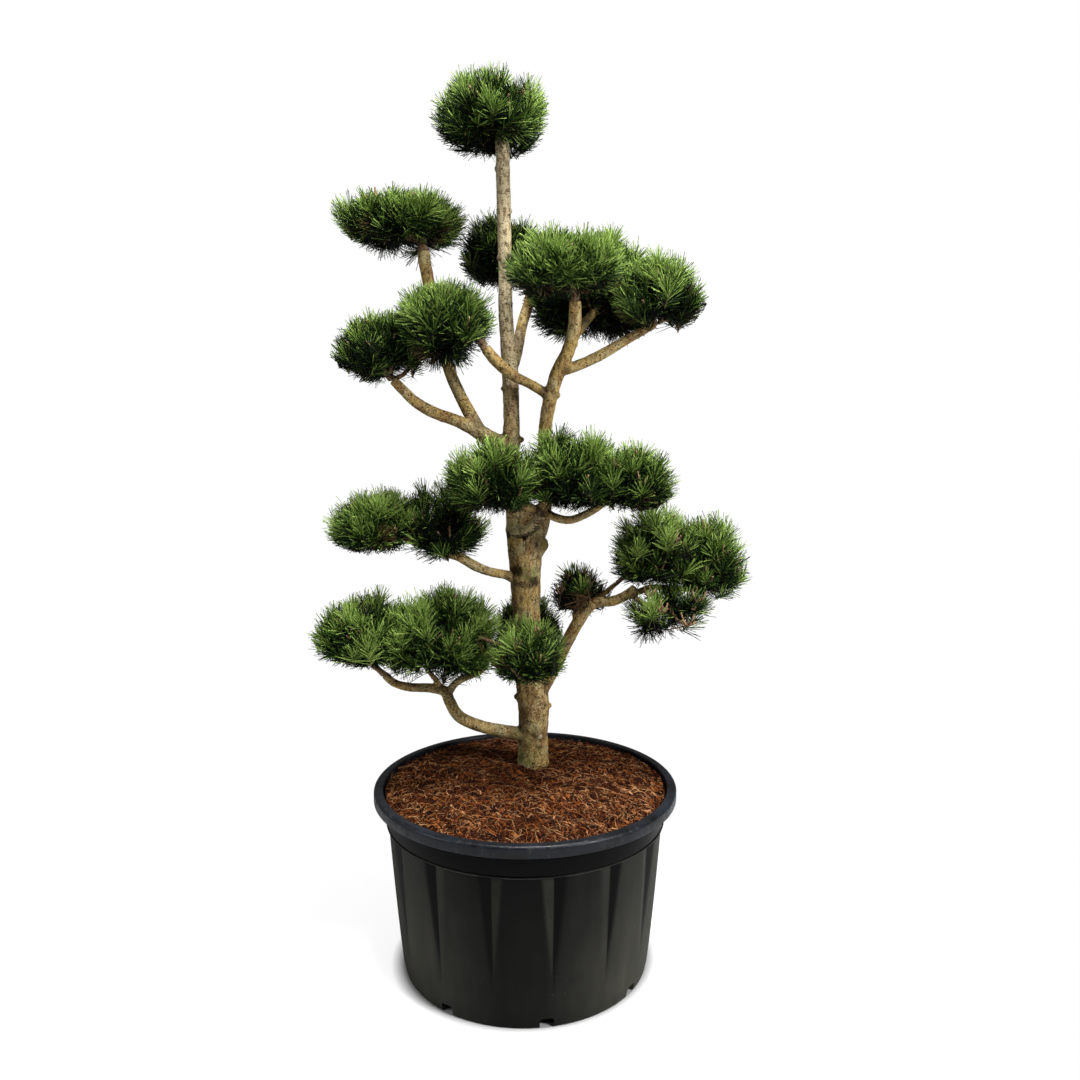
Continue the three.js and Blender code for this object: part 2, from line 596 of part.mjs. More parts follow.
function addMesh(group, name, look, solid) {
  const mesh = new THREE.Mesh(toGeometry(solid), finish(look, look));
  mesh.name = name;
  group.add(mesh);
}

const group = new THREE.Group();
addMesh(group, 'pot', 'pot', potSolid());
addMesh(group, 'soil', 'soil', soilSolid());

const { solids, swollen } = limbSolids();
for (const [name, solid] of solids) addMesh(group, name, 'bark', solid);

const stems = MASSES.map(stemOf);
MASSES.forEach((mass, index) => {
  addMesh(group, mass.name, 'needles', growMass(mass, index + 1, stems, swollen));
});

export default group;
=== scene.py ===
"""Potted lodgepole pine: bark, twigs, needles, mulch and pot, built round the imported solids."""

import math
from collections import namedtuple

import bpy
import numpy as np
from bpy.props import FloatProperty, FloatVectorProperty, IntProperty, PointerProperty
from bpy.types import NodeSocket, Operator, Panel, PropertyGroup
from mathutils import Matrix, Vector, kdtree, noise


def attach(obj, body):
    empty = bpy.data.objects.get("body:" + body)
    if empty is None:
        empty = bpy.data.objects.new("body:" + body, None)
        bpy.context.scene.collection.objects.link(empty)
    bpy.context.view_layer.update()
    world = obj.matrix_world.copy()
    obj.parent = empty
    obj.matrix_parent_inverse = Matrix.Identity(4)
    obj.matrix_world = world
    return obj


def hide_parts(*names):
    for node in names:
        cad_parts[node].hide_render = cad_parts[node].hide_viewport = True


bl_info = {
    "name": "Potted Pine",
    "version": (1, 0, 0),
    "blender": (4, 5, 0),
    "location": "View3D > Sidebar > Pine",
    "description": "Builds a pine pruned into clouds of needles, standing in a nursery pot",
    "category": "Add Mesh",
}

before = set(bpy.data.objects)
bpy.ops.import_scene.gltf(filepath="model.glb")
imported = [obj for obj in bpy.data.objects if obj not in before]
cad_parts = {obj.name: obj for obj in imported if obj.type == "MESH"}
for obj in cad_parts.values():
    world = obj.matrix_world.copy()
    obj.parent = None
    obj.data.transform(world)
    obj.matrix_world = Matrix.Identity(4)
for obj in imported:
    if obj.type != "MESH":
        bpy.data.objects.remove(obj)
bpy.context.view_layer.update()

MM = 0.001
UP = np.array([0.0, 0.0, 1.0])
GOLDEN_ANGLE = math.pi * (3 - math.sqrt(5))

# How full a cloud's space is above its waist and below it, where 2 is an ellipsoid.
FULLNESS = 2.7
UNDERSIDE = 2.0

# The top of the mulch and the middle of the trunk's foot, in metres.
MULCH_TOP = 0.575
TRUNK_FOOT = (0.023, 0.088)

# How far the first flute and the first drain notch are turned from the front, in degrees,
# and the height at which the flutes begin.
FLUTE_TURN = 11.6
NOTCH_TURN = 9.8
FLUTE_FOOT = 0.09

# The limbs of the source, in millimetres: x, y, z and radius at each point of the path.
LIMBS = {
    "trunk": [
        (23, 88, 545, 53), (23, 88, 600, 50), (24, 86, 690, 46), (23, 84, 795, 50),
        (16, 84, 880, 49), (8, 82, 988, 46), (2, 80, 1090, 43.5), (0, 80, 1190, 48),
        (-1, 78, 1262, 52), (-6, 74, 1334, 55), (-24, 72, 1415, 38), (-43, 70, 1518, 30),
        (-41, 70, 1668, 25), (-45, 70, 1820, 25), (-56, 70, 1963, 22), (-58, 70, 2131, 20.5),
        (-63, 70, 2380, 21.5), (-66, 70, 2526, 20.5)],
    "second_stem": [
        (24, 68, 1250, 26), (35, 62, 1308, 25), (53, 50, 1350, 20), (61, 42, 1390, 18),
        (61, 34, 1489, 20), (61, 10, 1650, 20), (93, -10, 1795, 21.5), (127, -20, 1868, 20),
        (144, -40, 1937, 19), (145, -60, 2004, 17)],
    "left_bough": [
        (-45, 70, 1582, 32), (-91, 66, 1601, 29), (-147, 55, 1638, 23), (-202, 40, 1665, 18.5),
        (-272, 25, 1691, 18), (-321, 15, 1720, 17), (-385, 0, 1784, 14)],
    "upper_left_bough": [
        (-132, 57, 1627, 21), (-192, 80, 1735, 19), (-230, 100, 1821, 18.5), (-256, 130, 1940, 19),
        (-290, 150, 2062, 19), (-311, 160, 2176, 20)],
    "crossing_bough": [
        (78, 0, 1735, 16), (16, 0, 1772, 14), (-37, -5, 1798, 16), (-80, -12, 1835, 18),
        (-114, -20, 1874, 16)],
    "rear_bough": [
        (-45, 72, 1802, 18), (-27, 95, 1863, 18), (-10, 135, 1955, 17), (11, 180, 2030, 17),
        (17, 210, 2076, 15)],
    "right_bough": [
        (92, -12, 1806, 17), (147, -5, 1822, 16), (220, 5, 1855, 16), (294, 15, 1898, 14.5),
        (382, 25, 1946, 11.5)],
    "rear_right_bough": [(130, -25, 1890, 16), (168, 30, 1941, 14.5), (207, 90, 1989, 13)],
    "front_bough": [
        (-28, 55, 1332, 20), (-27, 6, 1337, 16), (6, -22, 1344, 15), (34, -40, 1370, 17),
        (51, -70, 1409, 16), (62, -105, 1478, 13)],
    "front_left_bough": [(50, -68, 1402, 13), (11, -95, 1422, 12), (-26, -118, 1441, 10.5)],
    "front_right_bough": [
        (52, -68, 1406, 13), (90, -85, 1388, 13), (132, -95, 1382, 12), (194, -105, 1409, 11.5),
        (251, -110, 1448, 10.5), (300, -110, 1468, 10)],
    "middle_left_bough": [
        (-5, 78, 1168, 22), (-56, 55, 1197, 15), (-107, 35, 1211, 14), (-151, 20, 1231, 15.5),
        (-195, 10, 1259, 15), (-263, 0, 1281, 13.5), (-345, -8, 1313, 10.5)],
    "middle_left_inner_bough": [(-256, 1, 1280, 11), (-245, 5, 1304, 9)],
    "lower_right_bough": [
        (30, 90, 798, 26), (90, 80, 906, 22), (119, 68, 966, 20), (155, 50, 1040, 19),
        (190, 35, 1099, 19), (218, 30, 1119, 17), (263, 20, 1123, 16), (304, 10, 1143, 15),
        (331, 2, 1169, 12)],
    "lower_right_inner_bough": [(159, 50, 1040, 11), (151, 62, 1084, 9)],
    "lower_right_upper_bough": [(205, 33, 1110, 11), (244, 50, 1143, 8.5), (281, 60, 1172, 7.5)],
    "lower_right_outer_bough": [
        (312, 6, 1140, 10.5), (379, 30, 1162, 10), (447, 40, 1160, 9), (512, 45, 1153, 8)],
    "lower_right_hanging_bough": [(318, 5, 1146, 10), (352, -27, 1126, 8.5)],
    "lower_left_bough": [
        (10, 85, 678, 25), (-60, 60, 701, 20.5), (-138, 35, 726, 19), (-205, 15, 766, 18.5),
        (-231, 0, 818, 18), (-243, -8, 850, 17), (-288, -20, 864, 14.5), (-346, -35, 871, 13.5),
        (-392, -45, 887, 12.5), (-418, -50, 913, 12)],
    "lower_left_inner_bough": [
        (-236, -6, 840, 13), (-209, -20, 880, 11.5), (-174, -40, 904, 11), (-136, -65, 926, 10.5),
        (-113, -90, 969, 10), (-124, -105, 1008, 8.5)],
    "lower_left_middle_bough": [(-246, -10, 850, 10), (-272, -20, 892, 8.5), (-298, -25, 927, 7.5)],
    "low_rear_bough": [(12, 88, 880, 20), (8, 130, 922, 16.5), (4, 165, 950, 14)],
}

# Pruned stubs and knots of each limb: the height, turn from the front towards the right, reach
# from the limb's middle, radius, and how pale the cut face is.
KNOTS_ON = {
    "trunk": [
        (1283, 86, 67, 13, 0.0), (771, 88, 57, 7, 0.0), (655, 25, 52, 11, 0.0),
        (690, 27, 47, 11, 1.0), (699, 10, 43, 15, 0.0), (806, -82, 49, 17, 0.0),
        (838, -60, 45, 15, 0.0), (1196, -42, 42, 15, 0.0), (1180, 42, 42, 14, 0.0),
        (1205, 8, 40, 14, 0.0), (1190, 150, 42, 15, 0.0), (1000, 130, 42, 13, 0.6),
        (905, 175, 47, 15, 0.0), (1336, -88, 50, 12, 0.0), (1612, 75, 31, 13, 0.0),
        (1768, -15, 25, 9, 1.0), (1762, 45, 22, 12, 0.0), (1757, -70, 21, 12, 0.0),
        (1770, 160, 22, 12, 0.0), (2010, 60, 20, 8, 0.3), (2140, -75, 19, 9, 0.0),
        (2270, 110, 19, 8, 0.4), (2396, -80, 20, 9, 0.5), (2405, 40, 18, 9, 0.0)],
    "second_stem": [
        (1742, 70, 21, 11, 0.0), (1735, -40, 18, 11, 0.0), (1560, -60, 18, 8, 0.2),
        (1885, 60, 19, 9, 0.3)],
    "left_bough": [(1620, 0, 30, 12, 0.3), (1672, 15, 16, 8, 0.0)],
    "upper_left_bough": [(1835, 75, 18, 9, 0.3), (1990, -70, 17, 9, 0.2)],
    "crossing_bough": [(1822, 0, 15, 9, 0.0)],
    "right_bough": [(1868, 0, 14, 8, 0.3)],
    "middle_left_bough": [(1214, 0, 13, 8, 0.0), (1264, -20, 13, 9, 0.3)],
    "lower_right_bough": [(1000, 60, 18, 9, 0.3), (1100, 0, 17, 12, 0.6)],
    "lower_left_bough": [(730, 0, 18, 9, 0.0), (842, 0, 16, 12, 0.4), (866, 20, 12, 8, 0.0)],
}
KNOTS = [(limb, *knot) for limb, knots in KNOTS_ON.items() for knot in knots]

# A knot that reaches further than this, in millimetres, stands on a stub or on a broad one.
STUB_REACH = 50
BROAD_STUB_REACH = 60

# Scars on the front of the trunk: x, z, half width, half height, depth and how dark they are.
# Some are painted shade: the first is a real gouge darkened as painted shadow under the front
# bough's elbow, the fourth is painted shadow of the needles where the front bough forks, and the
# ninth and tenth darken the trunk low down by the lower left bough as scars and painted shade.
SCARS = [
    (-2, 1316, 6, 9, 14, 1.0), (2, 1290, 2.5, 17, 8, 0.9), (-6, 1292, 2.5, 10, 3, 0.6),
    (44, 1396, 22, 24, 0, 0.8), (-27, 1211, 20, 17, 3, 0.8), (25, 1181, 14, 12, 3, 0.9),
    (4, 1171, 42, 10, 0, 0.7), (-52, 1322, 6, 12, 2, 0.8), (-6, 745, 16, 50, 1, 0.5),
    (-18, 712, 10, 30, 2, 0.6), (-14, 1040, 9, 12, 1, 0.5), (22, 884, 10, 8, 1, 0.45),
    (-36, 1610, 12, 8, 1, 0.5), (-30, 1500, 8, 16, 1, 0.45), (43, 690, 20, 22, 0, 0.5),
]

# Green growth on the bark: x, z, half width, half height and how strong it is.
GREENS = [(14, 1207, 28, 20, 0.6), (-30, 1345, 26, 26, 0.35), (8, 1345, 30, 12, 0.3),
          (60, 1290, 14, 18, 0.4)]

# The source's masses: the limb that carries each, its middle x and y, half widths, lowest and
# highest points, the waist's share of the height, how full it is and how much painted light its
# sprays get, which deals them lighter or darker greens.
Mass = namedtuple("Mass", "limb x y half_x half_y low high waist full tone")
MASSES = {
    "top_mass": Mass("trunk", -101, 70, 168, 170, 2420, 2676, 0.5, 1.0, 0.03),
    "upper_left_mass": Mass(
        "upper_left_bough", -380, 170, 204, 185, 2112, 2362, 0.72, 1.0, 0.13),
    "upper_rear_mass": Mass("rear_bough", -71, 280, 145, 150, 2076, 2325, 0.45, 0.95, -0.22),
    "mid_left_outer_mass": Mass("left_bough", -418, 0.0, 139, 165, 1748, 1998, 0.5, 1.0, 0.0),
    "mid_left_inner_mass": Mass(
        "crossing_bough", -223, -45, 150, 165, 1764, 2074, 0.6, 1.0, 0.02),
    "mid_front_mass": Mass("second_stem", 109, -90, 182, 165, 1988, 2204, 0.5, 1.0, 0.16),
    "right_rear_mass": Mass(
        "rear_right_bough", 204, 175, 212, 165, 1872, 2266, 0.45, 1.0, -0.08),
    "right_outer_mass": Mass("right_bough", 387, 20, 137, 175, 1898, 2170, 0.44, 1.0, 0.03),
    "front_left_mass": Mass(
        "front_left_bough", -88, -150, 146, 135, 1397, 1640, 0.42, 1.0, -0.02),
    "front_centre_mass": Mass("front_bough", 136, -118, 140, 145, 1398, 1660, 0.42, 1.0, -0.04),
    "front_right_mass": Mass(
        "front_right_bough", 299, -112, 138, 145, 1404, 1622, 0.42, 1.0, -0.03),
    "middle_left_outer_mass": Mass(
        "middle_left_bough", -448, 0.0, 142, 165, 1270, 1480, 0.42, 1.0, 0.12),
    "middle_left_inner_mass": Mass(
        "middle_left_inner_bough", -246, 15, 146, 160, 1240, 1500, 0.42, 0.5, 0.0),
    "lower_right_inner_mass": Mass(
        "lower_right_inner_bough", 168, 80, 104, 105, 1060, 1250, 0.4, 0.62, -0.06),
    "lower_right_upper_mass": Mass(
        "lower_right_upper_bough", 393, 40, 148, 170, 1150, 1442, 0.38, 0.5, 0.2),
    "lower_right_outer_mass": Mass(
        "lower_right_outer_bough", 554, 50, 129, 165, 1108, 1424, 0.4, 0.55, 0.16),
    "lower_right_hanging_mass": Mass(
        "lower_right_hanging_bough", 428, -50, 142, 135, 968, 1216, 0.6, 0.27, 0.08),
    "lower_left_outer_mass": Mass(
        "lower_left_bough", -477, -50, 157, 180, 941, 1180, 0.42, 1.0, 0.12),
    "lower_left_middle_mass": Mass(
        "lower_left_middle_bough", -247, -40, 186, 185, 868, 1190, 0.47, 1.0, 0.11),
    "lower_left_inner_mass": Mass(
        "lower_left_inner_bough", 11, -140, 118, 112, 908, 1122, 0.4, 0.95, 0.1),
    "low_rear_mass": Mass("low_rear_bough", 2, 240, 118, 120, 901, 1128, 0.4, 0.9, -0.1),
}

# How much lower a cloud's top and how much shallower its underside is towards one side:
# above 0 towards the left, below 0 towards the right.
LEANS = {
    "upper_left_mass": (0.2, 0.5),
    "mid_left_outer_mass": (0.2, 0.3),
    "mid_left_inner_mass": (0.15, -0.5),
    "right_outer_mass": (-0.25, -0.2),
    "front_left_mass": (0.3, 0.0),
    "front_right_mass": (-0.15, 0.0),
    "lower_left_outer_mass": (0.35, 0.1),
    "lower_right_outer_mass": (-0.3, 0.0),
}

# Clouds that are open underneath, where their limb forks into them.
OPEN_BELOW = ("upper_left_mass", "mid_left_outer_mass", "mid_left_inner_mass", "mid_front_mass",
              "right_outer_mass", "lower_left_outer_mass", "lower_left_middle_mass")

# Each needle piece holds the clouds of one part of the crown.
CLOUDS = {
    "needles_crown": ("top_mass", "upper_left_mass", "upper_rear_mass"),
    "needles_upper_left": ("mid_left_outer_mass", "mid_left_inner_mass"),
    "needles_upper_right": ("mid_front_mass", "right_rear_mass", "right_outer_mass"),
    "needles_front": ("front_left_mass", "front_centre_mass", "front_right_mass"),
    "needles_middle_left": ("middle_left_outer_mass", "middle_left_inner_mass"),
    "needles_lower_right": ("lower_right_inner_mass", "lower_right_upper_mass",
                            "lower_right_outer_mass", "lower_right_hanging_mass"),
    "needles_lower_left": ("lower_left_outer_mass", "lower_left_middle_mass",
                           "lower_left_inner_mass", "low_rear_mass"),
}


def colour(label, text, value):
    return FloatVectorProperty(name=label, description=text, default=value, subtype="COLOR",
                               size=3, min=0.0, max=1.0)


def length(label, text, value):
    return FloatProperty(name=label, description=text, default=value, unit="LENGTH", min=0.0)


class PotSettings(PropertyGroup):
    base_radius: length("Base radius", "Outer radius of the pot at the ground", 0.376)
    wall_top_radius: length("Wall radius", "Outer radius of the fluted wall at its top", 0.418)
    band_radius: length("Band radius", "Outer radius of the plain band above the flutes", 0.426)
    rim_radius: length("Rim radius", "Outer radius of the rolled rim", 0.461)
    mouth_radius: length("Mouth radius", "Inner radius of the rim", 0.433)
    height: length("Height", "Height of the pot", 0.567)
    band_bottom: length("Band bottom", "Height at which the flutes end under the band", 0.460)
    rim_bottom: length("Rim bottom", "Height of the rim's lower edge", 0.533)
    flutes: IntProperty(name="Flutes", description="How many flutes run down the wall", default=15)
    flute_depth: length("Flute depth", "How far the flutes are pressed in at their top", 0.010)
    notches: IntProperty(name="Drain notches", description="How many notches the foot has",
                         default=8)
    black: colour("Black", "Colour of the moulded plastic", (0.0012, 0.0013, 0.0016))
    rim: colour("Rim", "Colour of the worn rim", (0.0075, 0.0095, 0.014))
    # The dust colour is also the painted sheen on the pot's sides and the painted reflection in its
    # flutes.
    dust: colour("Dust", "Colour of the dust and scuffs", (0.056, 0.055, 0.043))
    # The worn colour is also a painted highlight along the rim's lower edge.
    worn: colour("Worn edges", "Colour of the edges rubbed pale", (0.10, 0.098, 0.085))


class SoilSettings(PropertyGroup):
    radius: length("Radius", "How far the mulch reaches", 0.4265)
    fibres: IntProperty(name="Fibres", description="How many loose fibres lie on top", default=8200)
    chips: IntProperty(name="Chips", description="How many pieces of husk lie on top", default=2400)
    brown: colour("Brown", "Main colour of the mulch", (0.062, 0.014, 0.003))
    tan: colour("Tan", "Colour of the lightest fibres", (0.37, 0.185, 0.08))
    orange: colour("Orange", "Colour of the orange fibres", (0.25, 0.075, 0.017))
    dark_fibre: colour("Dark fibre", "Colour of the darkest fibres", (0.014, 0.003, 0.001))
    dark: colour("Dark", "Colour of the mulch between its fibres", (0.024, 0.005, 0.001))
    # Painted shade: the colour of the mulch's holes.
    black: colour("Black", "Colour of the holes in the mulch", (0.008, 0.002, 0.0006))


class BarkSettings(PropertyGroup):
    voxel: length("Grain", "Size of the bark mesh's faces", 0.0038)
    relief: length("Relief", "Height of the bark's plates on the trunk", 0.0013)
    tan: colour("Tan", "Main colour of the bark", (0.42, 0.28, 0.082))
    grey: colour("Grey", "Colour of the weathered bark", (0.43, 0.355, 0.175))
    rust: colour("Rust", "Colour of the younger orange bark", (0.28, 0.145, 0.045))
    brown: colour("Brown", "Colour between the flakes", (0.12, 0.068, 0.024))
    pale: colour("Pale", "Colour of the leader and of lifted flakes", (0.45, 0.38, 0.24))
    # This colour is also the painted shade under and round the front bough's elbow and the painted
    # shadow where that bough forks.
    scar: colour("Scar", "Colour of scars and specks", (0.022, 0.012, 0.006))
    moss: colour("Algae", "Colour of the green growth at the foot", (0.085, 0.14, 0.025))
    cut: colour("Cut", "Colour of the fresh wood of pruned stubs", (0.62, 0.52, 0.36))


class FoliageSettings(PropertyGroup):
    needle: length("Needle length", "Length of a full needle", 0.062)
    needle_width: length("Needle width", "Width of a needle", 0.0025)
    shoot: length("Shoot length", "Length of the shoot that carries one spray", 0.046)
    needles: IntProperty(name="Needles", description="How many needles a spray has", default=80)
    sprays: IntProperty(name="Sprays", description="Sprays to a square metre of a cloud's outside",
                        default=215)
    # The five greens are one needle green at five levels of painted light: tip green is the painted
    # highlight on the sprays in the most light, shade green the painted shade deep and low in a
    # cloud.
    tip_green: colour("Tip green", "Colour of the youngest needles", (0.225, 0.33, 0.072))
    light_green: colour("Light green", "Colour of needles in the light", (0.086, 0.152, 0.024))
    mid_green: colour("Mid green", "Colour of most needles", (0.0265, 0.0600, 0.0085))
    deep_green: colour("Deep green", "Colour of needles on the flanks", (0.0064, 0.0185, 0.0030))
    shade_green: colour("Shade green", "Colour of needles low in a cloud", (0.0012, 0.0036, 0.0007))
    dead_brown: colour("Dead brown", "Colour of withered needles", (0.075, 0.043, 0.018))
    twig: colour("Twig", "Colour of the twigs' scaly bark", (0.13, 0.076, 0.035))
    pale_twig: colour("Pale twig", "Colour of the twigs' paler stretches", (0.30, 0.195, 0.10))
    dark_twig: colour("Dark twig", "Colour between the twigs' scales", (0.05, 0.026, 0.013))


class StageSettings(PropertyGroup):
    floor: colour("Floor", "Colour of the floor", (0.5, 0.5, 0.5))
    lens: FloatProperty(name="Lens", description="Focal length of the camera in millimetres",
                        default=30.933)


# Modelling

def deselect():
    if bpy.context.mode != "OBJECT":
        bpy.ops.object.mode_set(mode="OBJECT")
    bpy.ops.object.select_all(action="DESELECT")


def select_only(pieces):
    deselect()
    for piece in pieces:
        piece.select_set(True)
    bpy.context.view_layer.objects.active = pieces[0]


def apply_modifier(piece, kind, **options):
    select_only([piece])
    bpy.ops.object.modifier_add(type=kind)
    modifier = piece.modifiers[-1]
    for option, value in options.items():
        setattr(modifier, option, value)
    if bpy.ops.object.modifier_apply(modifier=modifier.name) != {"FINISHED"}:
        raise RuntimeError(f"{kind} could not be applied to {piece.name}")


def positions(mesh):
    points = np.empty(len(mesh.vertices) * 3, np.float32)
    mesh.vertices.foreach_get("co", points)
    return points.reshape(-1, 3).astype(float)


def move_points(mesh, points):
    mesh.vertices.foreach_set("co", points.astype(np.float32).ravel())
    mesh.update()


def joined_mesh(name, points, triangles, looks, look_of=None, smooth=False):
    """Many small things as one mesh, with a look for each face."""
    mesh = bpy.data.meshes.new(name)
    mesh.vertices.add(len(points))
    mesh.vertices.foreach_set("co", points.astype(np.float32).ravel())
    mesh.loops.add(triangles.size)
    mesh.loops.foreach_set("vertex_index", triangles.astype(np.int32).ravel())
    mesh.polygons.add(len(triangles))
    mesh.polygons.foreach_set("loop_start", np.arange(0, triangles.size, 3, dtype=np.int32))
    for look in looks:
        mesh.materials.append(look)
    if look_of is not None:
        mesh.polygons.foreach_set("material_index", look_of.astype(np.int32))
    mesh.update(calc_edges=True)
    if smooth:
        mesh.shade_smooth()
    else:
        mesh.shade_flat()
    if mesh.validate():
        raise RuntimeError(f"{name} has faces that could not be kept")
    piece = bpy.data.objects.new(name, mesh)
    bpy.context.scene.collection.objects.link(piece)
    return piece


def seat(piece, nodes):
    """Gives a piece its place in the frame."""
    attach(piece, "root")
    if nodes:
        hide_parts(*nodes)


# Looks

class Nodes:
    """Short names for the shader nodes used here. All but node and feed give an output."""

    def __init__(self, tree):
        self.tree = tree

    def node(self, kind, options=None, **sockets):
        """Adds a node, sets its options, and feeds its sockets with values or other outputs."""
        made = self.tree.nodes.new(kind)
        for option, value in (options or {}).items():
            setattr(made, option, value)
        for label, value in sockets.items():
            self.feed(made.inputs[label.replace("_", " ")], value)
        return made

    def feed(self, socket, value):
        if isinstance(value, NodeSocket):
            self.tree.links.new(value, socket)
        elif isinstance(socket.default_value, (int, float)):
            socket.default_value = value
        else:
            socket.default_value = (*value, 1.0) if len(socket.default_value) == 4 else value

    def maths(self, way, first, *others):
        """One operation over all the values, from left to right."""
        for other in others:
            made = self.node("ShaderNodeMath", {"operation": way})
            self.feed(made.inputs[0], first)
            self.feed(made.inputs[1], other)
            first = made.outputs[0]
        return first

    def times(self, *values):
        return self.maths("MULTIPLY", *values)

    def spread(self, value, low, high, to_low=0.0, to_high=1.0):
        """A value that runs from low to high, carried over to another range and kept in it."""
        return self.node("ShaderNodeMapRange", Value=value, From_Min=low, From_Max=high,
                         To_Min=to_low, To_Max=to_high).outputs[0]

    def band(self, value, middle, half):
        """1 in the middle, fading to 0 at half above and below it."""
        return self.times(self.spread(value, middle - half, middle),
                          self.spread(value, middle + half, middle))

    def mix(self, share, first, second):
        made = self.node("ShaderNodeMix", {"data_type": "RGBA"})
        for index, value in ((0, share), (6, first), (7, second)):
            self.feed(made.inputs[index], value)
        return made.outputs[2]

    def attribute(self, name):
        return self.node("ShaderNodeAttribute", {"attribute_name": name}).outputs["Fac"]

    def place(self, stretch=(1.0, 1.0, 1.0)):
        source = self.tree.nodes.new("ShaderNodeTexCoord").outputs["Object"]
        return self.node("ShaderNodeMapping", Vector=source, Scale=stretch).outputs[0]

    def noise(self, place, scale, detail=4.0, roughness=0.55):
        return self.node("ShaderNodeTexNoise", Vector=place, Scale=scale, Detail=detail,
                         Roughness=roughness).outputs[0]

    def cells(self, place, scale):
        return self.node("ShaderNodeTexVoronoi", Vector=place, Scale=scale).outputs["Distance"]

    def bump(self, height, depth, strength=1.0, under=None):
        made = self.node("ShaderNodeBump", Height=height, Distance=depth, Strength=strength)
        if under is not None:
            self.feed(made.inputs["Normal"], under)
        return made.outputs[0]


class Look(Nodes):
    """A new material, whose shader's sockets are set by their names."""

    def __init__(self, name, roughness, specular):
        self.material = bpy.data.materials.new(name)
        self.material.use_nodes = True
        super().__init__(self.material.node_tree)
        self.shader = self.tree.nodes["Principled BSDF"]
        self.set(Roughness=roughness, Specular_IOR_Level=specular)

    def set(self, **sockets):
        for label, value in sockets.items():
            self.feed(self.shader.inputs[label.replace("_", " ")], value)


def pot_plastic(settings):
    """Black moulded plastic with dust and pits on its plates. Painted shade keeps the flutes'
    front-facing halves black, a painted reflection makes their side-facing halves paler, painted
    sheen makes the pot's sides paler and the middles of its front and back darker, and painted
    shade keeps the band under the rim black.
    """
    look = Look("black pot plastic", 0.4, 0.055)
    place = look.place()
    split = look.node("ShaderNodeSeparateXYZ", Vector=place)
    height, recess = split.outputs["Z"], look.attribute("recess")
    from_middle = look.maths("ABSOLUTE", split.outputs["X"], 0.0)
    cloudy = look.noise(place, 5.0, 6.0, 0.6)
    streaky = look.noise(look.place((1.0, 1.0, 0.12)), 26.0, 5.0, 0.6)
    dust_shade_and_sheen = look.times(look.spread(cloudy, 0.3, 0.7, 0.5, 1.0),
                      look.spread(streaky, 0.3, 0.7, 0.6, 1.0),
                      # Painted sheen: the pot's sides are made paler and the middles of its front
                      # and back darker.
                      look.spread(from_middle, 0.06, 0.36, 0.16, 1.5),
                      look.spread(height, 0.45, 0.05, 0.55, 1.5),
                      # Painted shade: the band under the rim gets none of this and stays black.
                      look.spread(height, 0.474, 0.455),
                      # Painted shade: the flute half that faces the front is kept black.
                      look.spread(recess, 0.0, 0.25, 1.0, 0.0))
    # Painted reflection: the flute half that faces the sides is made paler, as if it caught the
    # bright surroundings.
    painted_reflection = look.times(look.spread(recess, -0.02, -0.3, 0.0, 0.75),
                     look.spread(cloudy, 0.3, 0.7, 0.4, 1.0))
    pits = look.times(look.spread(look.cells(place, 70.0), 0.16, 0.10),
                      look.spread(look.noise(place, 9.0, 3.0), 0.5, 0.6))
    specks = look.times(look.spread(look.cells(place, 60.0), 0.11, 0.06),
                        look.spread(look.noise(place, 7.0, 3.0), 0.56, 0.66))
    dust_shade_and_sheen = look.times(look.maths("MAXIMUM", dust_shade_and_sheen, painted_reflection), look.spread(pits, 0.0, 1.0, 0.6, 0.0))
    dust_sheen_and_specks = look.maths("MAXIMUM", dust_shade_and_sheen, specks)
    # Pale lines along the band's lower edge and the rim's lower edge: wear and dust, and at the
    # rim's edge a painted highlight too.
    edges = look.times(look.maths("MAXIMUM", look.band(height, settings.band_bottom - 0.001, 0.004),
                                  look.band(height, settings.rim_bottom + 0.001, 0.003)),
                       look.spread(streaky, 0.35, 0.6, 0.25, 0.75))
    look.set(
        Base_Color=look.mix(edges, look.mix(dust_sheen_and_specks, settings.black, settings.dust), settings.worn),
        Roughness=look.maths("ADD", look.spread(cloudy, 0.3, 0.7, 0.32, 0.42),
                             look.times(dust_sheen_and_specks, 0.3)),
        Normal=look.bump(look.noise(place, 420.0, 3.0), 0.0004, 0.35,
                         look.bump(look.noise(place, 14.0, 2.0), 0.004, 0.25)))
    return look.material


def worn_rim(settings):
    """The rim's handled plastic: glossier, bluish black, scuffed paler in places."""
    look = Look("worn pot rim", 0.34, 0.22)
    cloudy = look.noise(look.place(), 9.0, 5.0, 0.6)
    scuffs = look.noise(look.place((1.0, 1.0, 0.3)), 60.0, 5.0, 0.7)
    base = look.mix(look.spread(cloudy, 0.38, 0.62), settings.black, settings.rim)
    look.set(Base_Color=look.mix(look.spread(scuffs, 0.58, 0.7, 0.0, 0.4), base, settings.dust),
             Roughness=look.spread(scuffs, 0.35, 0.65, 0.28, 0.5),
             Normal=look.bump(cloudy, 0.012, 0.6, look.bump(scuffs, 0.0015, 0.4)))
    return look.material


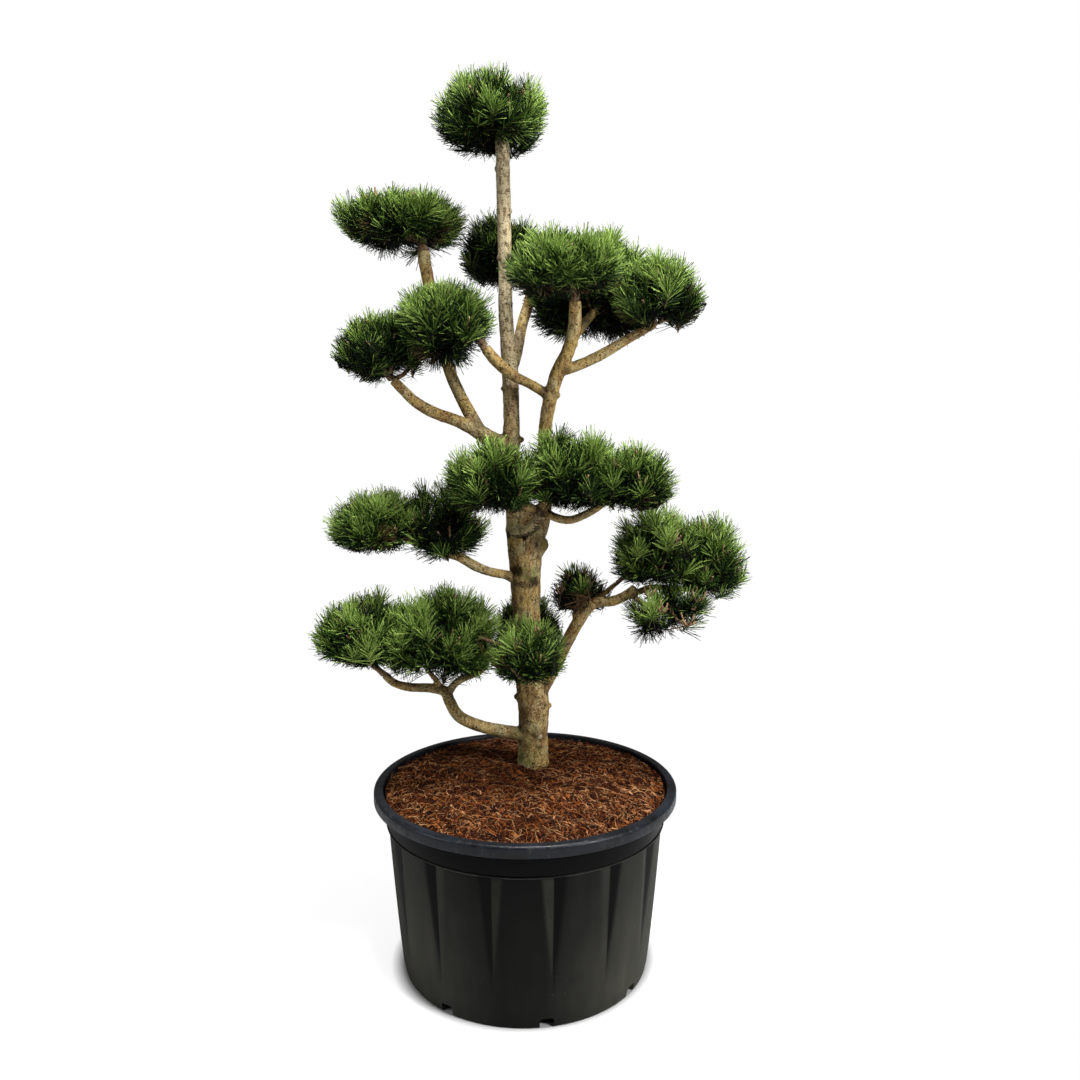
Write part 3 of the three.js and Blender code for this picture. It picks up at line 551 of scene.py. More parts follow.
def mulch_ground(settings):
    """Matted coconut fibre with dark gaps, whose holes are painted black as shade."""
    look = Look("mulch ground", 0.95, 0.1)
    matted = look.noise(look.place((1.0, 3.2, 1.0)), 60.0, 8.0, 0.7)
    crossed = look.noise(look.place((3.2, 1.0, 1.0)), 70.0, 8.0, 0.7)
    # Painted shade: the holes are painted near black.
    holes = look.times(look.spread(look.cells(look.place(), 60.0), 0.55, 0.15), 0.7)
    base = look.mix(look.spread(matted, 0.42, 0.62), settings.dark, settings.brown)
    base = look.mix(look.spread(crossed, 0.55, 0.72), base, settings.tan)
    look.set(Base_Color=look.mix(holes, base, settings.black),
             Normal=look.bump(matted, 0.006, 0.8, look.bump(crossed, 0.006, 0.8)))
    return look.material


def fibre_look(name, base):
    """One colour of strand, with darker and lighter stretches along it."""
    look = Look(name, 0.85, 0.12)
    place = look.place()
    mottled = look.spread(look.noise(place, 90.0, 3.0), 0.35, 0.65)
    look.set(Base_Color=look.mix(mottled, tuple(0.45 * value for value in base), base),
             Normal=look.bump(look.noise(place, 900.0, 2.0), 0.0005, 0.5))
    return look.material


def bark_look(settings):
    """Flaky tan bark, specked and scarred, greyer on the leader, with algae at the foot, and with
    painted shade round the front bough's elbow and painted shadow where that bough forks.
    """
    look = Look("pine bark", 0.85, 0.15)
    place, tall, flat = (look.place((1.0, 1.0, rise)) for rise in (1.0, 0.5, 2.2))
    girth, scar, cut, moss, pale = map(look.attribute, ("girth", "scar", "cut", "moss", "pale"))
    patches = look.noise(place, 16.0, 4.0)
    stains = look.noise(tall, 30.0, 5.0, 0.6)
    flakes = look.noise(tall, 95.0, 6.0, 0.7)
    grains = look.noise(place, 260.0, 3.0, 0.65)
    base = look.mix(look.spread(patches, 0.42, 0.58, 0.0, 0.85), settings.tan, settings.grey)
    base = look.mix(look.spread(stains, 0.50, 0.60, 0.0, 0.85), base, settings.rust)
    base = look.mix(look.times(pale, 0.9), base, settings.pale)
    base = look.mix(look.spread(flakes, 0.52, 0.40, 0.0, 0.9), base, settings.brown)
    base = look.mix(look.spread(grains, 0.53, 0.64, 0.0, 0.6), base, settings.pale)
    base = look.mix(look.spread(grains, 0.46, 0.33, 0.0, 0.8), base, settings.scar)
    specks = look.times(look.spread(look.cells(flat, 90.0), 0.40, 0.26),
                        look.spread(look.noise(place, 38.0, 2.0), 0.45, 0.56))
    # Painted shade and painted shadow from the trunk's marks darken here together with the real
    # scars.
    ragged = look.maths("ADD", scar, look.times(look.maths("SUBTRACT", flakes, 0.5), 2.4))
    wound_and_shade = look.times(look.spread(ragged, 0.30, 0.85, 0.0, 0.96), look.spread(scar, 0.0, 0.3))
    marks = look.maths("MAXIMUM", look.times(specks, 0.85), wound_and_shade)
    green = look.times(moss, look.spread(look.noise(place, 55.0, 4.0), 0.38, 0.6))
    shaded = look.mix(green, look.mix(marks, base, settings.scar), settings.moss)
    relief = look.maths("SUBTRACT", look.maths("ADD", flakes, look.times(grains, 0.35)),
                        look.times(marks, 0.5))
    look.set(Base_Color=look.mix(cut, shaded, settings.cut),
             Roughness=look.spread(flakes, 0.3, 0.7, 0.92, 0.74),
             Normal=look.bump(relief, 0.006, look.spread(girth, 0.012, 0.045, 0.5, 1.0)))
    return look.material


def twig_look(settings):
    """Scaly reddish-brown bark of the thin twigs."""
    look = Look("scaly twig bark", 0.8, 0.3)
    place = look.place()
    scales = look.cells(place, 260.0)
    base = look.mix(look.spread(look.noise(place, 60.0, 3.0), 0.4, 0.65), settings.twig,
                    settings.pale_twig)
    look.set(Base_Color=look.mix(look.spread(scales, 0.35, 0.75, 0.0, 0.7), base,
                                 settings.dark_twig),
             Normal=look.bump(scales, 0.0015, 0.8))
    return look.material


def needle_look(name, base, roughness=0.48):
    """One green of needle: a waxy skin, a little uneven in colour."""
    look = Look(name, roughness, 0.1)
    uneven = look.noise(look.place(), 130.0, 3.0)
    dark, light = (tuple(share * value for value in base) for share in (0.72, 1.25))
    look.set(Base_Color=look.mix(look.spread(uneven, 0.3, 0.7), dark, light),
             Roughness=look.spread(uneven, 0.3, 0.7, roughness - 0.06, roughness + 0.1))
    return look.material


def floor_look(settings):
    """Matt pale studio floor that shows plain white away from the plant."""
    look = Look("pale floor", 0.9, 0.1)
    far = look.node("ShaderNodeVectorMath", {"operation": "LENGTH"},
                    Vector=look.place()).outputs["Value"]
    seen = look.node("ShaderNodeLightPath").outputs["Is Camera Ray"]
    glow = look.maths("ADD", look.spread(far, 0.378, 0.42, 0.0, 0.8),
                      look.spread(far, 0.42, 1.0, 0.0, 0.2))
    black_out = look.times(look.spread(far, 0.45, 1.0), seen)
    look.set(Base_Color=look.mix(black_out, settings.floor, (0.0, 0.0, 0.0)),
             Emission_Color=(1.0, 1.0, 1.0), Emission_Strength=look.times(glow, seen))
    return look.material


# Pot

def wall_radius(settings, height):
    rise = settings.wall_top_radius - settings.base_radius
    return settings.base_radius + rise * (height / settings.band_bottom) ** 0.8


def arc(centre, radius, start, end, steps):
    """Points of a rounded edge, from one angle in degrees to another."""
    turns = [math.radians(start + (end - start) * i / steps) for i in range(steps + 1)]
    return [(centre[0] + radius * math.cos(a), centre[1] + radius * math.sin(a)) for a in turns]


def pot_profile(settings):
    """The pot's outline from the middle of its underside, up the wall and down inside."""
    foot, band, rim, top = 0.006, settings.band_bottom, settings.rim_bottom, settings.height
    roll = 0.010
    wall = [(wall_radius(settings, z), z) for z in np.linspace(0.03, band - 0.012, 20)]
    return ([(settings.base_radius - 0.05, 0.0)]
            + arc((settings.base_radius - foot, foot), foot, -90, 0, 3) + wall
            + [(wall_radius(settings, band - 0.004), band - 0.004)]
            + arc((settings.band_radius - 0.004, band + 0.003), 0.003, -40, 90, 3)
            + [(settings.band_radius - 0.0035, band + 0.012), (settings.band_radius, rim - 0.022)]
            + arc((settings.band_radius + 0.006, rim - 0.008), 0.007, 180, 90, 4)
            + arc((settings.rim_radius - 0.003, rim + 0.003), 0.003, -90, 0, 3)
            + arc((settings.rim_radius - roll, top - roll), roll, 0, 90, 7)
            + arc((settings.mouth_radius + 0.004, top - 0.004), 0.004, 90, 180, 4)
            + [(settings.mouth_radius - 0.002, 0.541), (0.420, 0.527), (0.398, band - 0.03),
               (settings.base_radius - 0.017, 0.008)])


def press_flutes(settings, mesh):
    """Presses the flutes in and keeps how deep, to paint shade and reflection in them: below 0 on
    the half towards the pot's front.
    """
    points = positions(mesh)
    x, y, z = points.T
    radius = np.hypot(x, y)
    turn = np.degrees(np.arctan2(x, -y)) - FLUTE_TURN
    pitch = 360 / settings.flutes
    off = (turn + pitch / 2) % pitch - pitch / 2
    rise = np.clip((z - FLUTE_FOOT) / (settings.band_bottom - FLUTE_FOOT), 0, 1)
    half = 5.5 * (0.22 + 0.78 * rise)
    depth = settings.flute_depth * rise * np.clip(1 - np.abs(off) / half, 0, 1)
    outside = (z < settings.band_bottom - 0.003) & (
        radius > wall_radius(settings, np.clip(z, 0, 1)) - 0.004)
    # The sign says which half of a flute gets painted shade and which a painted reflection.
    side = np.where(off * x < 0, -1, 1)
    recess = mesh.attributes.new("recess", "FLOAT", "POINT")
    recess.data.foreach_set(
        "value", np.where(outside, side * depth / settings.flute_depth, 0).astype(np.float32))
    share = np.where(outside, (radius - depth) / np.maximum(radius, 1e-6), 1.0)
    points[:, :2] *= share[:, None]
    move_points(mesh, points)


def notch_cutter(settings):
    """Drain notches with rounded tops, all in one cutter."""
    cutters = []
    for i in range(settings.notches):
        turn = math.radians(NOTCH_TURN + i * 360 / settings.notches)
        place = (math.sin(turn) * settings.base_radius, -math.cos(turn) * settings.base_radius, 0)
        bpy.ops.mesh.primitive_cube_add(size=1, location=place, rotation=(0, 0, turn))
        cutter = bpy.context.object
        cutter.scale = (0.040, 0.052, 0.060)
        bpy.ops.object.transform_apply(location=True, rotation=True, scale=True)
        apply_modifier(cutter, "BEVEL", width=0.009, segments=4, limit_method="NONE")
        cutters.append(cutter)
        deselect()
    select_only(cutters)
    bpy.ops.object.join()
    return bpy.context.object


class PINE_OT_pot(Operator):
    """Round nursery pot with a rolled rim, pressed flutes and drain notches"""
    bl_idname = "pine.pot"
    bl_label = "Pot"

    def execute(self, context):
        settings = context.scene.pine_pot
        profile = pot_profile(settings)
        deselect()
        bpy.ops.mesh.primitive_circle_add(vertices=720, radius=profile[0][0], fill_type="NGON")
        pot = context.object
        pot.name = pot.data.name = "nursery_pot"
        bpy.ops.object.mode_set(mode="EDIT")
        bpy.ops.mesh.select_all(action="SELECT")
        for (radius, height), (next_radius, next_height) in zip(profile, profile[1:]):
            bpy.ops.mesh.extrude_region_move(
                TRANSFORM_OT_translate={"value": (0, 0, next_height - height)})
            share = next_radius / radius
            bpy.ops.transform.resize(value=(share, share, 1))
        bpy.ops.mesh.select_all(action="SELECT")
        bpy.ops.mesh.normals_make_consistent(inside=False)
        bpy.ops.object.mode_set(mode="OBJECT")
        press_flutes(settings, pot.data)
        cutter = notch_cutter(settings)
        apply_modifier(pot, "BOOLEAN", object=cutter, operation="DIFFERENCE", solver="EXACT")
        bpy.data.objects.remove(cutter)
        select_only([pot])
        bpy.ops.object.shade_smooth_by_angle(angle=math.radians(24))
        pot.data.materials.clear()
        pot.data.materials.append(pot_plastic(settings))
        pot.data.materials.append(worn_rim(settings))
        heights = np.array([face.center.z for face in pot.data.polygons])
        pot.data.polygons.foreach_set("material_index",
                                      (heights > settings.rim_bottom).astype(np.int32))
        seat(pot, ["pot"])
        return {"FINISHED"}


# Mulch

def mulch_height(radius):
    """The heap's height: a level middle that slopes to just under the rim."""
    return np.interp(radius, [0, 0.15, 0.24, 0.35, 0.4, 0.427],
                     [MULCH_TOP, MULCH_TOP, 0.571, 0.559, 0.551, 0.545])


def heap_height(x, y):
    """The heap with the little mound of mulch against the trunk's foot."""
    from_trunk = np.hypot(x - TRUNK_FOOT[0], y - TRUNK_FOOT[1])
    return mulch_height(np.hypot(x, y)) + 0.009 * np.exp(-(from_trunk / 0.085) ** 4)


def lumpiness(points, scale, seed=0.0):
    """Smooth noise at each point, from about -1 to 1."""
    shift = Vector((seed, 1.7 * seed, 2.3 * seed))
    return np.array([noise.noise(Vector(p) * scale + shift) for p in points])


def strands(rng, roots, headings, lengths, radii, steps=3):
    """Curved three-sided strands lying on the heap, as points and triangles."""
    count = len(roots)
    along = np.linspace(-0.5, 0.5, steps + 1)
    bend = rng.normal(0, 0.9, count)
    arch = rng.uniform(0.0, 0.010, count)
    tilt = rng.normal(0, 0.10, count)
    rings = []
    for share in along:
        angle = headings + bend * share
        x = roots[:, 0] + np.cos(angle) * lengths * share
        y = roots[:, 1] + np.sin(angle) * lengths * share
        far = np.hypot(x, y)
        keep = np.minimum(1.0, 0.4255 / np.maximum(far, 1e-6))
        x, y = x * keep, y * keep
        z = (heap_height(x, y) + roots[:, 2] + arch * (1 - 4 * share * share)
             + tilt * lengths * share)
        thick = radii * (1 - 1.1 * share * share)
        side = np.stack([-np.sin(angle), np.cos(angle), np.zeros(count)], 1)
        centre = np.stack([x, y, z], 1)
        for turn in range(3):
            a = turn * 2 * math.pi / 3
            rings.append(centre + thick[:, None] * (side * math.cos(a) + UP * math.sin(a)))
    points = np.stack(rings, 1)
    faces = []
    for ring in range(steps):
        for turn in range(3):
            a, b = ring * 3 + turn, ring * 3 + (turn + 1) % 3
            faces += [(a, b, b + 3), (a, b + 3, a + 3)]
    faces += [(2, 1, 0), (steps * 3, steps * 3 + 1, steps * 3 + 2)]
    faces = np.array(faces)
    triangles = faces[None] + (np.arange(count) * points.shape[1])[:, None, None]
    return points.reshape(-1, 3), triangles.reshape(-1, 3), len(faces)


def scatter_on_heap(rng, count, radius):
    spread_out = np.sqrt(rng.random(count)) * radius
    turn = rng.random(count) * 2 * math.pi
    return np.stack([spread_out * np.cos(turn), spread_out * np.sin(turn)], 1)


class PINE_OT_mulch(Operator):
    """Heaped coconut fibre mulch with loose strands and pieces of husk"""
    bl_idname = "pine.mulch"
    bl_label = "Mulch"

    def execute(self, context):
        settings = context.scene.pine_soil
        ground = self.ground(context, settings)
        ground.data.materials.append(mulch_ground(settings))
        seat(ground, ["soil"])
        looks = [fibre_look("tan fibre", settings.tan), fibre_look("orange fibre", settings.orange),
                 fibre_look("red brown fibre", settings.brown),
                 fibre_look("dark fibre", settings.dark_fibre)]
        rng = np.random.default_rng(41)
        self.litter("mulch_fibres", rng, settings, settings.fibres, (0.0, 0.007), (0.018, 0.075),
                    (0.0005, 0.0013), looks, (0.20, 0.26, 0.34, 0.20))
        self.litter("mulch_husk", rng, settings, settings.chips, (0.0, 0.005), (0.008, 0.030),
                    (0.0018, 0.0045), looks, (0.08, 0.22, 0.45, 0.25), steps=2)
        return {"FINISHED"}

    def litter(self, name, rng, settings, count, lift, span, thick, looks, shares, steps=3):
        """Strands all over the heap, by ranges of lift, length and radius and the looks' shares."""
        roots = scatter_on_heap(rng, count, settings.radius)
        points, triangles, faces = strands(
            rng, np.column_stack([roots, rng.uniform(*lift, count)]), rng.random(count) * math.pi,
            rng.uniform(*span, count), rng.uniform(*thick, count), steps)
        dealt = np.repeat(rng.choice(len(looks), count, p=shares), faces)
        seat(joined_mesh(name, points, triangles, looks, dealt), [])

    def ground(self, context, settings):
        """A disc of narrowing rings on a short skirt, heaped, roughened and closed underneath."""
        deselect()
        bpy.ops.mesh.primitive_circle_add(vertices=260, radius=settings.radius, fill_type="NOTHING",
                                          location=(0, 0, 0.5))
        ground = context.object
        bpy.ops.object.transform_apply(location=True)
        ground.name = ground.data.name = "mulch_ground"
        bpy.ops.object.mode_set(mode="EDIT")
        bpy.ops.mesh.select_all(action="SELECT")
        skirt = 0.405 / settings.radius
        bpy.ops.transform.resize(value=(skirt, skirt, 1))
        bpy.ops.mesh.extrude_region_move(TRANSFORM_OT_translate={"value": (0, 0, 0.045)})
        bpy.ops.transform.resize(value=(1 / skirt, 1 / skirt, 1))
        radius = settings.radius
        while radius > 0.012:
            smaller = radius - max(0.0035, radius * 0.024)
            bpy.ops.mesh.extrude_region_move()
            share = smaller / radius
            bpy.ops.transform.resize(value=(share, share, 1))
            radius = smaller
        bpy.ops.mesh.edge_face_add()
        bpy.ops.mesh.poke()
        bpy.ops.object.mode_set(mode="OBJECT")
        mesh = ground.data
        points = positions(mesh)
        top = points[:, 2] > 0.52
        rough = (lumpiness(points, 22.0) * 0.0060 + lumpiness(points, 75.0, 3.0) * 0.0046
                 + lumpiness(points, 210.0, 7.0) * 0.0024)
        heap = heap_height(points[:, 0], points[:, 1]) - 0.0015
        points[:, 2] = np.where(top, heap + rough, points[:, 2])
        move_points(mesh, points)
        bpy.ops.object.mode_set(mode="EDIT")
        bpy.ops.mesh.select_all(action="DESELECT")
        bpy.ops.mesh.select_non_manifold()
        bpy.ops.mesh.edge_face_add()
        bpy.ops.mesh.select_all(action="SELECT")
        bpy.ops.mesh.normals_make_consistent(inside=False)
        bpy.ops.object.mode_set(mode="OBJECT")
        bpy.ops.object.shade_smooth()
        return ground


# Limbs

def smooth_path(path, step=12.0):
    """Points and radii along the source's centripetal curve, in metres."""
    rows = np.array(path, float)
    points, radii = rows[:, :3], rows[:, 3]
    ends = np.vstack([2 * points[0] - points[1], points, 2 * points[-1] - points[-2]])
    out, thick = [], []
    for i in range(len(points) - 1):
        a, b, c, d = ends[i:i + 4]
        gaps = [max(math.sqrt(np.linalg.norm(q - p)), 1e-4) for p, q in ((a, b), (b, c), (c, d))]
        leave = ((b - a) / gaps[0] - (c - a) / (gaps[0] + gaps[1]) + (c - b) / gaps[1]) * gaps[1]
        arrive = ((c - b) / gaps[1] - (d - b) / (gaps[1] + gaps[2]) + (d - c) / gaps[2]) * gaps[1]
        count = max(2, round(np.linalg.norm(c - b) / step))
        last = i == len(points) - 2
        for share in np.arange(count + last) / count:
            out.append(b + leave * share + (3 * (c - b) - 2 * leave - arrive) * share ** 2
                       + (2 * (b - c) + leave + arrive) * share ** 3)
            thick.append(radii[i] + (radii[i + 1] - radii[i]) * share)
    return np.array(out) * MM, np.array(thick) * MM


def knot_place(name, height, turn, reach):
    """The limb's middle at a knot's height, the knot's place, and the way out to it."""
    points, _ = smooth_path(LIMBS[name])
    middle = points[np.argmin(np.abs(points[:, 2] - height * MM))]
    out = np.array([math.sin(math.radians(turn)), -math.cos(math.radians(turn)), 0.0])
    return middle, middle + out * reach * MM, out


def tube(name, points, radii):
    """A limb as a curve with a round section, made a mesh."""
    line = bpy.data.curves.new(name, "CURVE")
    line.dimensions = "3D"
    line.bevel_depth = 1.0
    line.bevel_resolution = 5
    line.use_fill_caps = True
    spline = line.splines.new("POLY")
    spline.points.add(len(points) - 1)
    for dot, place, radius in zip(spline.points, points, radii):
        dot.co = (*place, 1.0)
        dot.radius = radius
    limb = bpy.data.objects.new(name, line)
    bpy.context.scene.collection.objects.link(limb)
    select_only([limb])
    bpy.ops.object.convert(target="MESH")
    return bpy.context.object


def knots_and_stubs():
    """A rounded knob for each knot, with a stub where it stands out or shows a cut face."""
    made = []
    for name, height, turn, reach, radius, pale in KNOTS:
        middle, tip, _ = knot_place(name, height, turn, reach)
        if reach > STUB_REACH or pale > 0.15:
            tip = tip + UP * radius * MM * (1.0 if reach > STUB_REACH else 0.2)
            made.append(tube("stub", np.array([middle, tip]),
                             np.array([radius * 1.25, radius * 0.92]) * MM))
        if reach > BROAD_STUB_REACH:
            made.append(tube("stub foot", np.array([middle - UP * 0.06, tip - UP * 0.004]),
                             np.array([radius * 2.6, radius * 0.9]) * MM))
        deselect()
        bpy.ops.mesh.primitive_ico_sphere_add(subdivisions=3, radius=radius * MM,
                                              location=middle + (tip - middle) * 0.86)
        knot = bpy.context.object
        knot.scale = (1.1, 1.1, 0.8)
        bpy.ops.object.transform_apply(location=True, rotation=True, scale=True)
        made.append(knot)
    return made


def girth_at(points):
    """The radius of the limb that is nearest to each point."""
    wood, girths = (np.concatenate(rows) for rows in zip(*map(smooth_path, LIMBS.values())))
    tree = kdtree.KDTree(len(wood))
    for index, place in enumerate(wood):
        tree.insert(place, index)
    tree.balance()
    return girths[[tree.find(point)[1] for point in points]]


def knot_marks(points):
    """Scarring round the knots, and the fresh wood of the paler cuts."""
    scar, cut = np.zeros(len(points)), np.zeros(len(points))
    for name, height, turn, reach, radius, pale in KNOTS:
        middle, tip, out = knot_place(name, height, turn, reach)
        away = np.linalg.norm((points - tip) * (1, 1, 0.8), axis=1) / (radius * MM)
        scar = np.maximum(scar, np.clip(1.7 - away, 0, 1) * (0.55 if name == "trunk" else 0.34))
        if pale:
            outer = (points - middle) @ out - (reach - 3) * MM
            face = np.linalg.norm(points - tip, axis=1) / (radius * MM)
            cut = np.maximum(cut, pale * np.clip((0.75 - face) * 4, 0, 1) * (outer > 0))
    return scar, cut


def collar_marks(points):
    """Wrinkled rings where each limb leaves the one that carries it."""
    scar = np.zeros(len(points))
    paths = {name: smooth_path(path) for name, path in LIMBS.items()}
    for name, path in LIMBS.items():
        if name == "trunk":
            continue
        foot, radius = np.array(path[0][:3]) * MM, path[0][3] * MM
        lead = unit(np.array(path[1][:3]) * MM - foot)
        gaps = {other: np.linalg.norm(paths[other][0] - foot, axis=1)
                for other in LIMBS if other != name}
        owner = min(gaps, key=lambda other: gaps[other].min())
        collar = foot + lead * paths[owner][1][gaps[owner].argmin()]
        away = np.linalg.norm(points - collar, axis=1) / (radius * 1.25)
        scar = np.maximum(scar, np.clip(1.35 - np.abs(away - 0.9) * 2.6, 0, 1) * 0.55)
    return scar


def elbow_marks(points, front):
    """The front bough's bent foot, and painted shade in the creased join round it and under it,
    with a painted shadow on the trunk below it.
    """
    path, radii = smooth_path(LIMBS["front_bough"])
    low = path[:, 2] < 1.39
    path, radii = path[low], radii[low]
    gaps = np.linalg.norm(points[:, None] - path, axis=2) / radii
    nearest = gaps.argmin(1)
    gap, off, radius = gaps.min(1), points - path[nearest], radii[nearest]
    x, y, z = points.T
    behind = off[:, 1] > 0.45 * radius
    below = (off[:, 2] < 0) | (x < -0.036)
    elbow = np.clip((1.3 - gap) * 5, 0, 1) * ~behind * (y < 0.02)
    crease_shade = np.clip((1.75 - gap) * 3, 0, 0.95) * behind * below * (y < 0.05)
    edge = np.interp(x, [-0.036, -0.02, 0.006, 0.04], [1.326, 1.318, 1.322, 1.346])
    shade = np.clip(1.5 - np.abs(z - edge) / 0.006, 0, 1) * (np.abs(x - 0.006) < 0.036)
    # Painted shade in the creased join and under the elbow, and a painted shadow along the elbow's
    # lower edge on the trunk.
    dark = np.maximum.reduce([crease_shade, 0.8 * elbow * (off[:, 2] < -0.5 * radius),
                              0.85 * shade * front * (y > 0.0)])
    return elbow, dark


def from_mark(points, x, z, half_x, half_z):
    """How far points lie from a mark on the trunk's front, counted in its half sizes."""
    return np.hypot((points[:, 0] - x * MM) / (half_x * MM),
                    (points[:, 2] - z * MM) / (half_z * MM))


def bark_marks(points):
    """How deep each point is gouged, and its limb's radius, scarring with painted shade, cut, algae
    and paleness.
    """
    x, y, z = points.T
    front = y < 0.078
    scar, cut = knot_marks(points)
    scar = np.maximum(scar, collar_marks(points))
    gouge = np.zeros(len(points))
    for *place, depth, dark in SCARS:
        away = from_mark(points, *place)
        scar = np.maximum(scar, np.clip(1.7 - away, 0, 1) * dark * front)
        gouge = np.maximum(gouge, np.clip(1.3 - away, 0, 1) * depth * MM * front)
    # The elbow, and the painted shade round and under it, which darkens along with the scars.
    elbow, dark = elbow_marks(points, front)
    scar = np.maximum(scar * (1 - 0.8 * elbow), dark)
    moss = np.clip(1 - (z - MULCH_TOP) / 0.16, 0, 1) * np.clip(0.65 - (x - 0.02) / 0.05, 0.12, 1)
    for *place, strong in GREENS:
        away = from_mark(points, *place)
        moss = np.maximum(moss, np.clip(1.5 - away, 0, 1) * strong * front)
    leader = (np.abs(x + 0.052) < 0.045) & (np.abs(y - 0.07) < 0.04)
    pale = np.maximum(np.clip((z - 1.5) / 0.5, 0, 1) * leader, 0.7 * elbow)
    return gouge, {"girth": girth_at(points), "scar": scar, "cut": cut, "moss": moss, "pale": pale}


class PINE_OT_bark(Operator):
    """Trunk and boughs as one skin with knots, stubs, collars and flaking bark"""
    bl_idname = "pine.bark"
    bl_label = "Trunk and boughs"

    def execute(self, context):
        settings = context.scene.pine_bark
        limbs = [tube(name, *smooth_path(path)) for name, path in LIMBS.items()]
        select_only(limbs + knots_and_stubs())
        bpy.ops.object.join()
        wood = context.object
        wood.name = wood.data.name = "bark"
        apply_modifier(wood, "REMESH", mode="VOXEL", voxel_size=settings.voxel)
        apply_modifier(wood, "SMOOTH", factor=0.5, iterations=5)
        self.raise_relief(settings, wood.data)
        wood.data.materials.clear()
        wood.data.materials.append(bark_look(settings))
        select_only([wood])
        bpy.ops.object.shade_smooth()
        seat(wood, list(LIMBS))
        return {"FINISHED"}

    def raise_relief(self, settings, mesh):
        """Moves the skin out and in for its flakes, scars and flare, and keeps what marks it."""
        points = positions(mesh)
        normals = np.empty(len(points) * 3, np.float32)
        mesh.vertex_normals.foreach_get("vector", normals)
        normals = normals.reshape(-1, 3).astype(float)
        gouge, marks = bark_marks(points)
        flare = np.clip(1 - (points[:, 2] - MULCH_TOP) / 0.05, 0, 1)
        strong = settings.relief * np.clip(marks["girth"] / 0.045, 0.3, 1.1)
        tall = points * (1, 1, 0.5)
        height = (lumpiness(points, 17.0) * 1.4 * strong + lumpiness(tall, 60.0, 5.0) * 1.3 * strong
                  + lumpiness(tall, 120.0, 9.0) * 1.1 * strong
                  + marks["scar"] * (lumpiness(points, 150.0, 2.0) * 1.9 + 0.3) * strong
                  + flare ** 2 * 0.002 - gouge)
        move_points(mesh, points + normals * height[:, None])
        for name, values in marks.items():
            layer = mesh.attributes.new(name, "FLOAT", "POINT")
            layer.data.foreach_set("value", values.astype(np.float32))


# Clouds of needles

# The faces of a needle, whose corners are two at its foot and two at its end.
NEEDLE_FACES = np.array([(0, 1, 2), (0, 3, 1), (0, 2, 3), (1, 3, 2)])

# The layers of a clump: the share of its sprays, and the depths that they lie between.
LAYERS = ((0.46, 0.92, 1.04), (0.34, 0.76, 0.91), (0.20, 0.5, 0.74))

# The place of the withered look among the needles' looks.
WITHERED = 5


def space_of(name):
    """A cloud's middle, its half sizes, and its heights above and below the middle, in metres."""
    mass = MASSES[name]
    middle = np.array([mass.x, mass.y, mass.low + (mass.high - mass.low) * mass.waist]) * MM
    return (middle, mass.half_x * MM, mass.half_y * MM,
            mass.high * MM - middle[2], middle[2] - mass.low * MM)


def half_sizes(name, up):
    """A cloud's half size along each axis, for points above its middle and for points below."""
    _, half_x, half_y, above, below = space_of(name)
    return np.stack([np.full(len(up), half_x), np.full(len(up), half_y),
                     np.where(up, above, below)], 1)


def roundness(off):
    """The length of an offset by the rule of the spaces: fuller than an ellipsoid above the
    waist, and drawn in towards the bough below it."""
    power = np.where(off[..., 2] < 0, UNDERSIDE, FULLNESS)
    level = (np.abs(off[..., :2]) ** FULLNESS).sum(-1) ** (1 / FULLNESS)
    return (level ** power + np.abs(off[..., 2]) ** power) ** (1 / power)


def lean(name, side, up):
    """The share of its full height that a cloud has at a place between its sides at -1 and 1."""
    top, underside = LEANS.get(name, (0.0, 0.0))
    return np.clip(1 + np.where(up, top, underside) * side, 0.4, 1.0)


def reach_in(name, points):
    """How far out points lie in a cloud's space: 0 in the middle, 1 at its edge."""
    off = points - space_of(name)[0]
    off = off / half_sizes(name, off[:, 2] > 0)
    off[:, 2] /= lean(name, off[:, 0], off[:, 2] > 0)
    return roundness(off)


def points_at(name, directions, reach):
    """Points of a cloud's space in the given directions, at a reach as reach_in gives it."""
    off = directions * np.reshape(reach, (-1, 1)) / roundness(directions)[:, None]
    off[:, 2] *= lean(name, off[:, 0], off[:, 2] > 0)
    return space_of(name)[0] + off * half_sizes(name, directions[:, 2] > 0)


def stays_in_space(name, points):
    """Which points lie within a cloud's reach and not well within another cloud."""
    reach = reach_in(name, points)
    fine = reach <= 1.05
    for other in MASSES:
        if other != name:
            fine &= reach_in(other, points) > reach - 0.3
    return fine


def wood_near(name, stems):
    """Points and radii of the limbs and of the other clouds' stems, near a cloud."""
    middle, *sizes = space_of(name)
    foot = stems[name][0][0]
    wood = {limb: smooth_path(path) for limb, path in LIMBS.items()}
    wood.update({other: stem for other, stem in stems.items() if other != name})
    places, radii = [], []
    for limb, (points, thick) in wood.items():
        close = np.linalg.norm(points - middle, axis=1) < max(sizes) + 0.08
        if limb == MASSES[name].limb:
            close &= np.linalg.norm(points - foot, axis=1) > 0.02
        places.append(points[close])
        radii.append(thick[close])
    return np.vstack(places), np.concatenate(radii)


def clear_of_wood(starts, ends, wood, margin=0.002):
    """Which of the straight lines between starts and ends keep a margin from all the wood."""
    fine = np.ones(len(starts), bool)
    along = ends - starts
    square = np.maximum((along ** 2).sum(1), 1e-12)
    for place, radius in zip(*wood):
        share = np.clip(((place - starts) * along).sum(1) / square, 0, 1)
        fine &= np.linalg.norm(starts + along * share[:, None] - place, axis=1) > radius + margin
    return fine


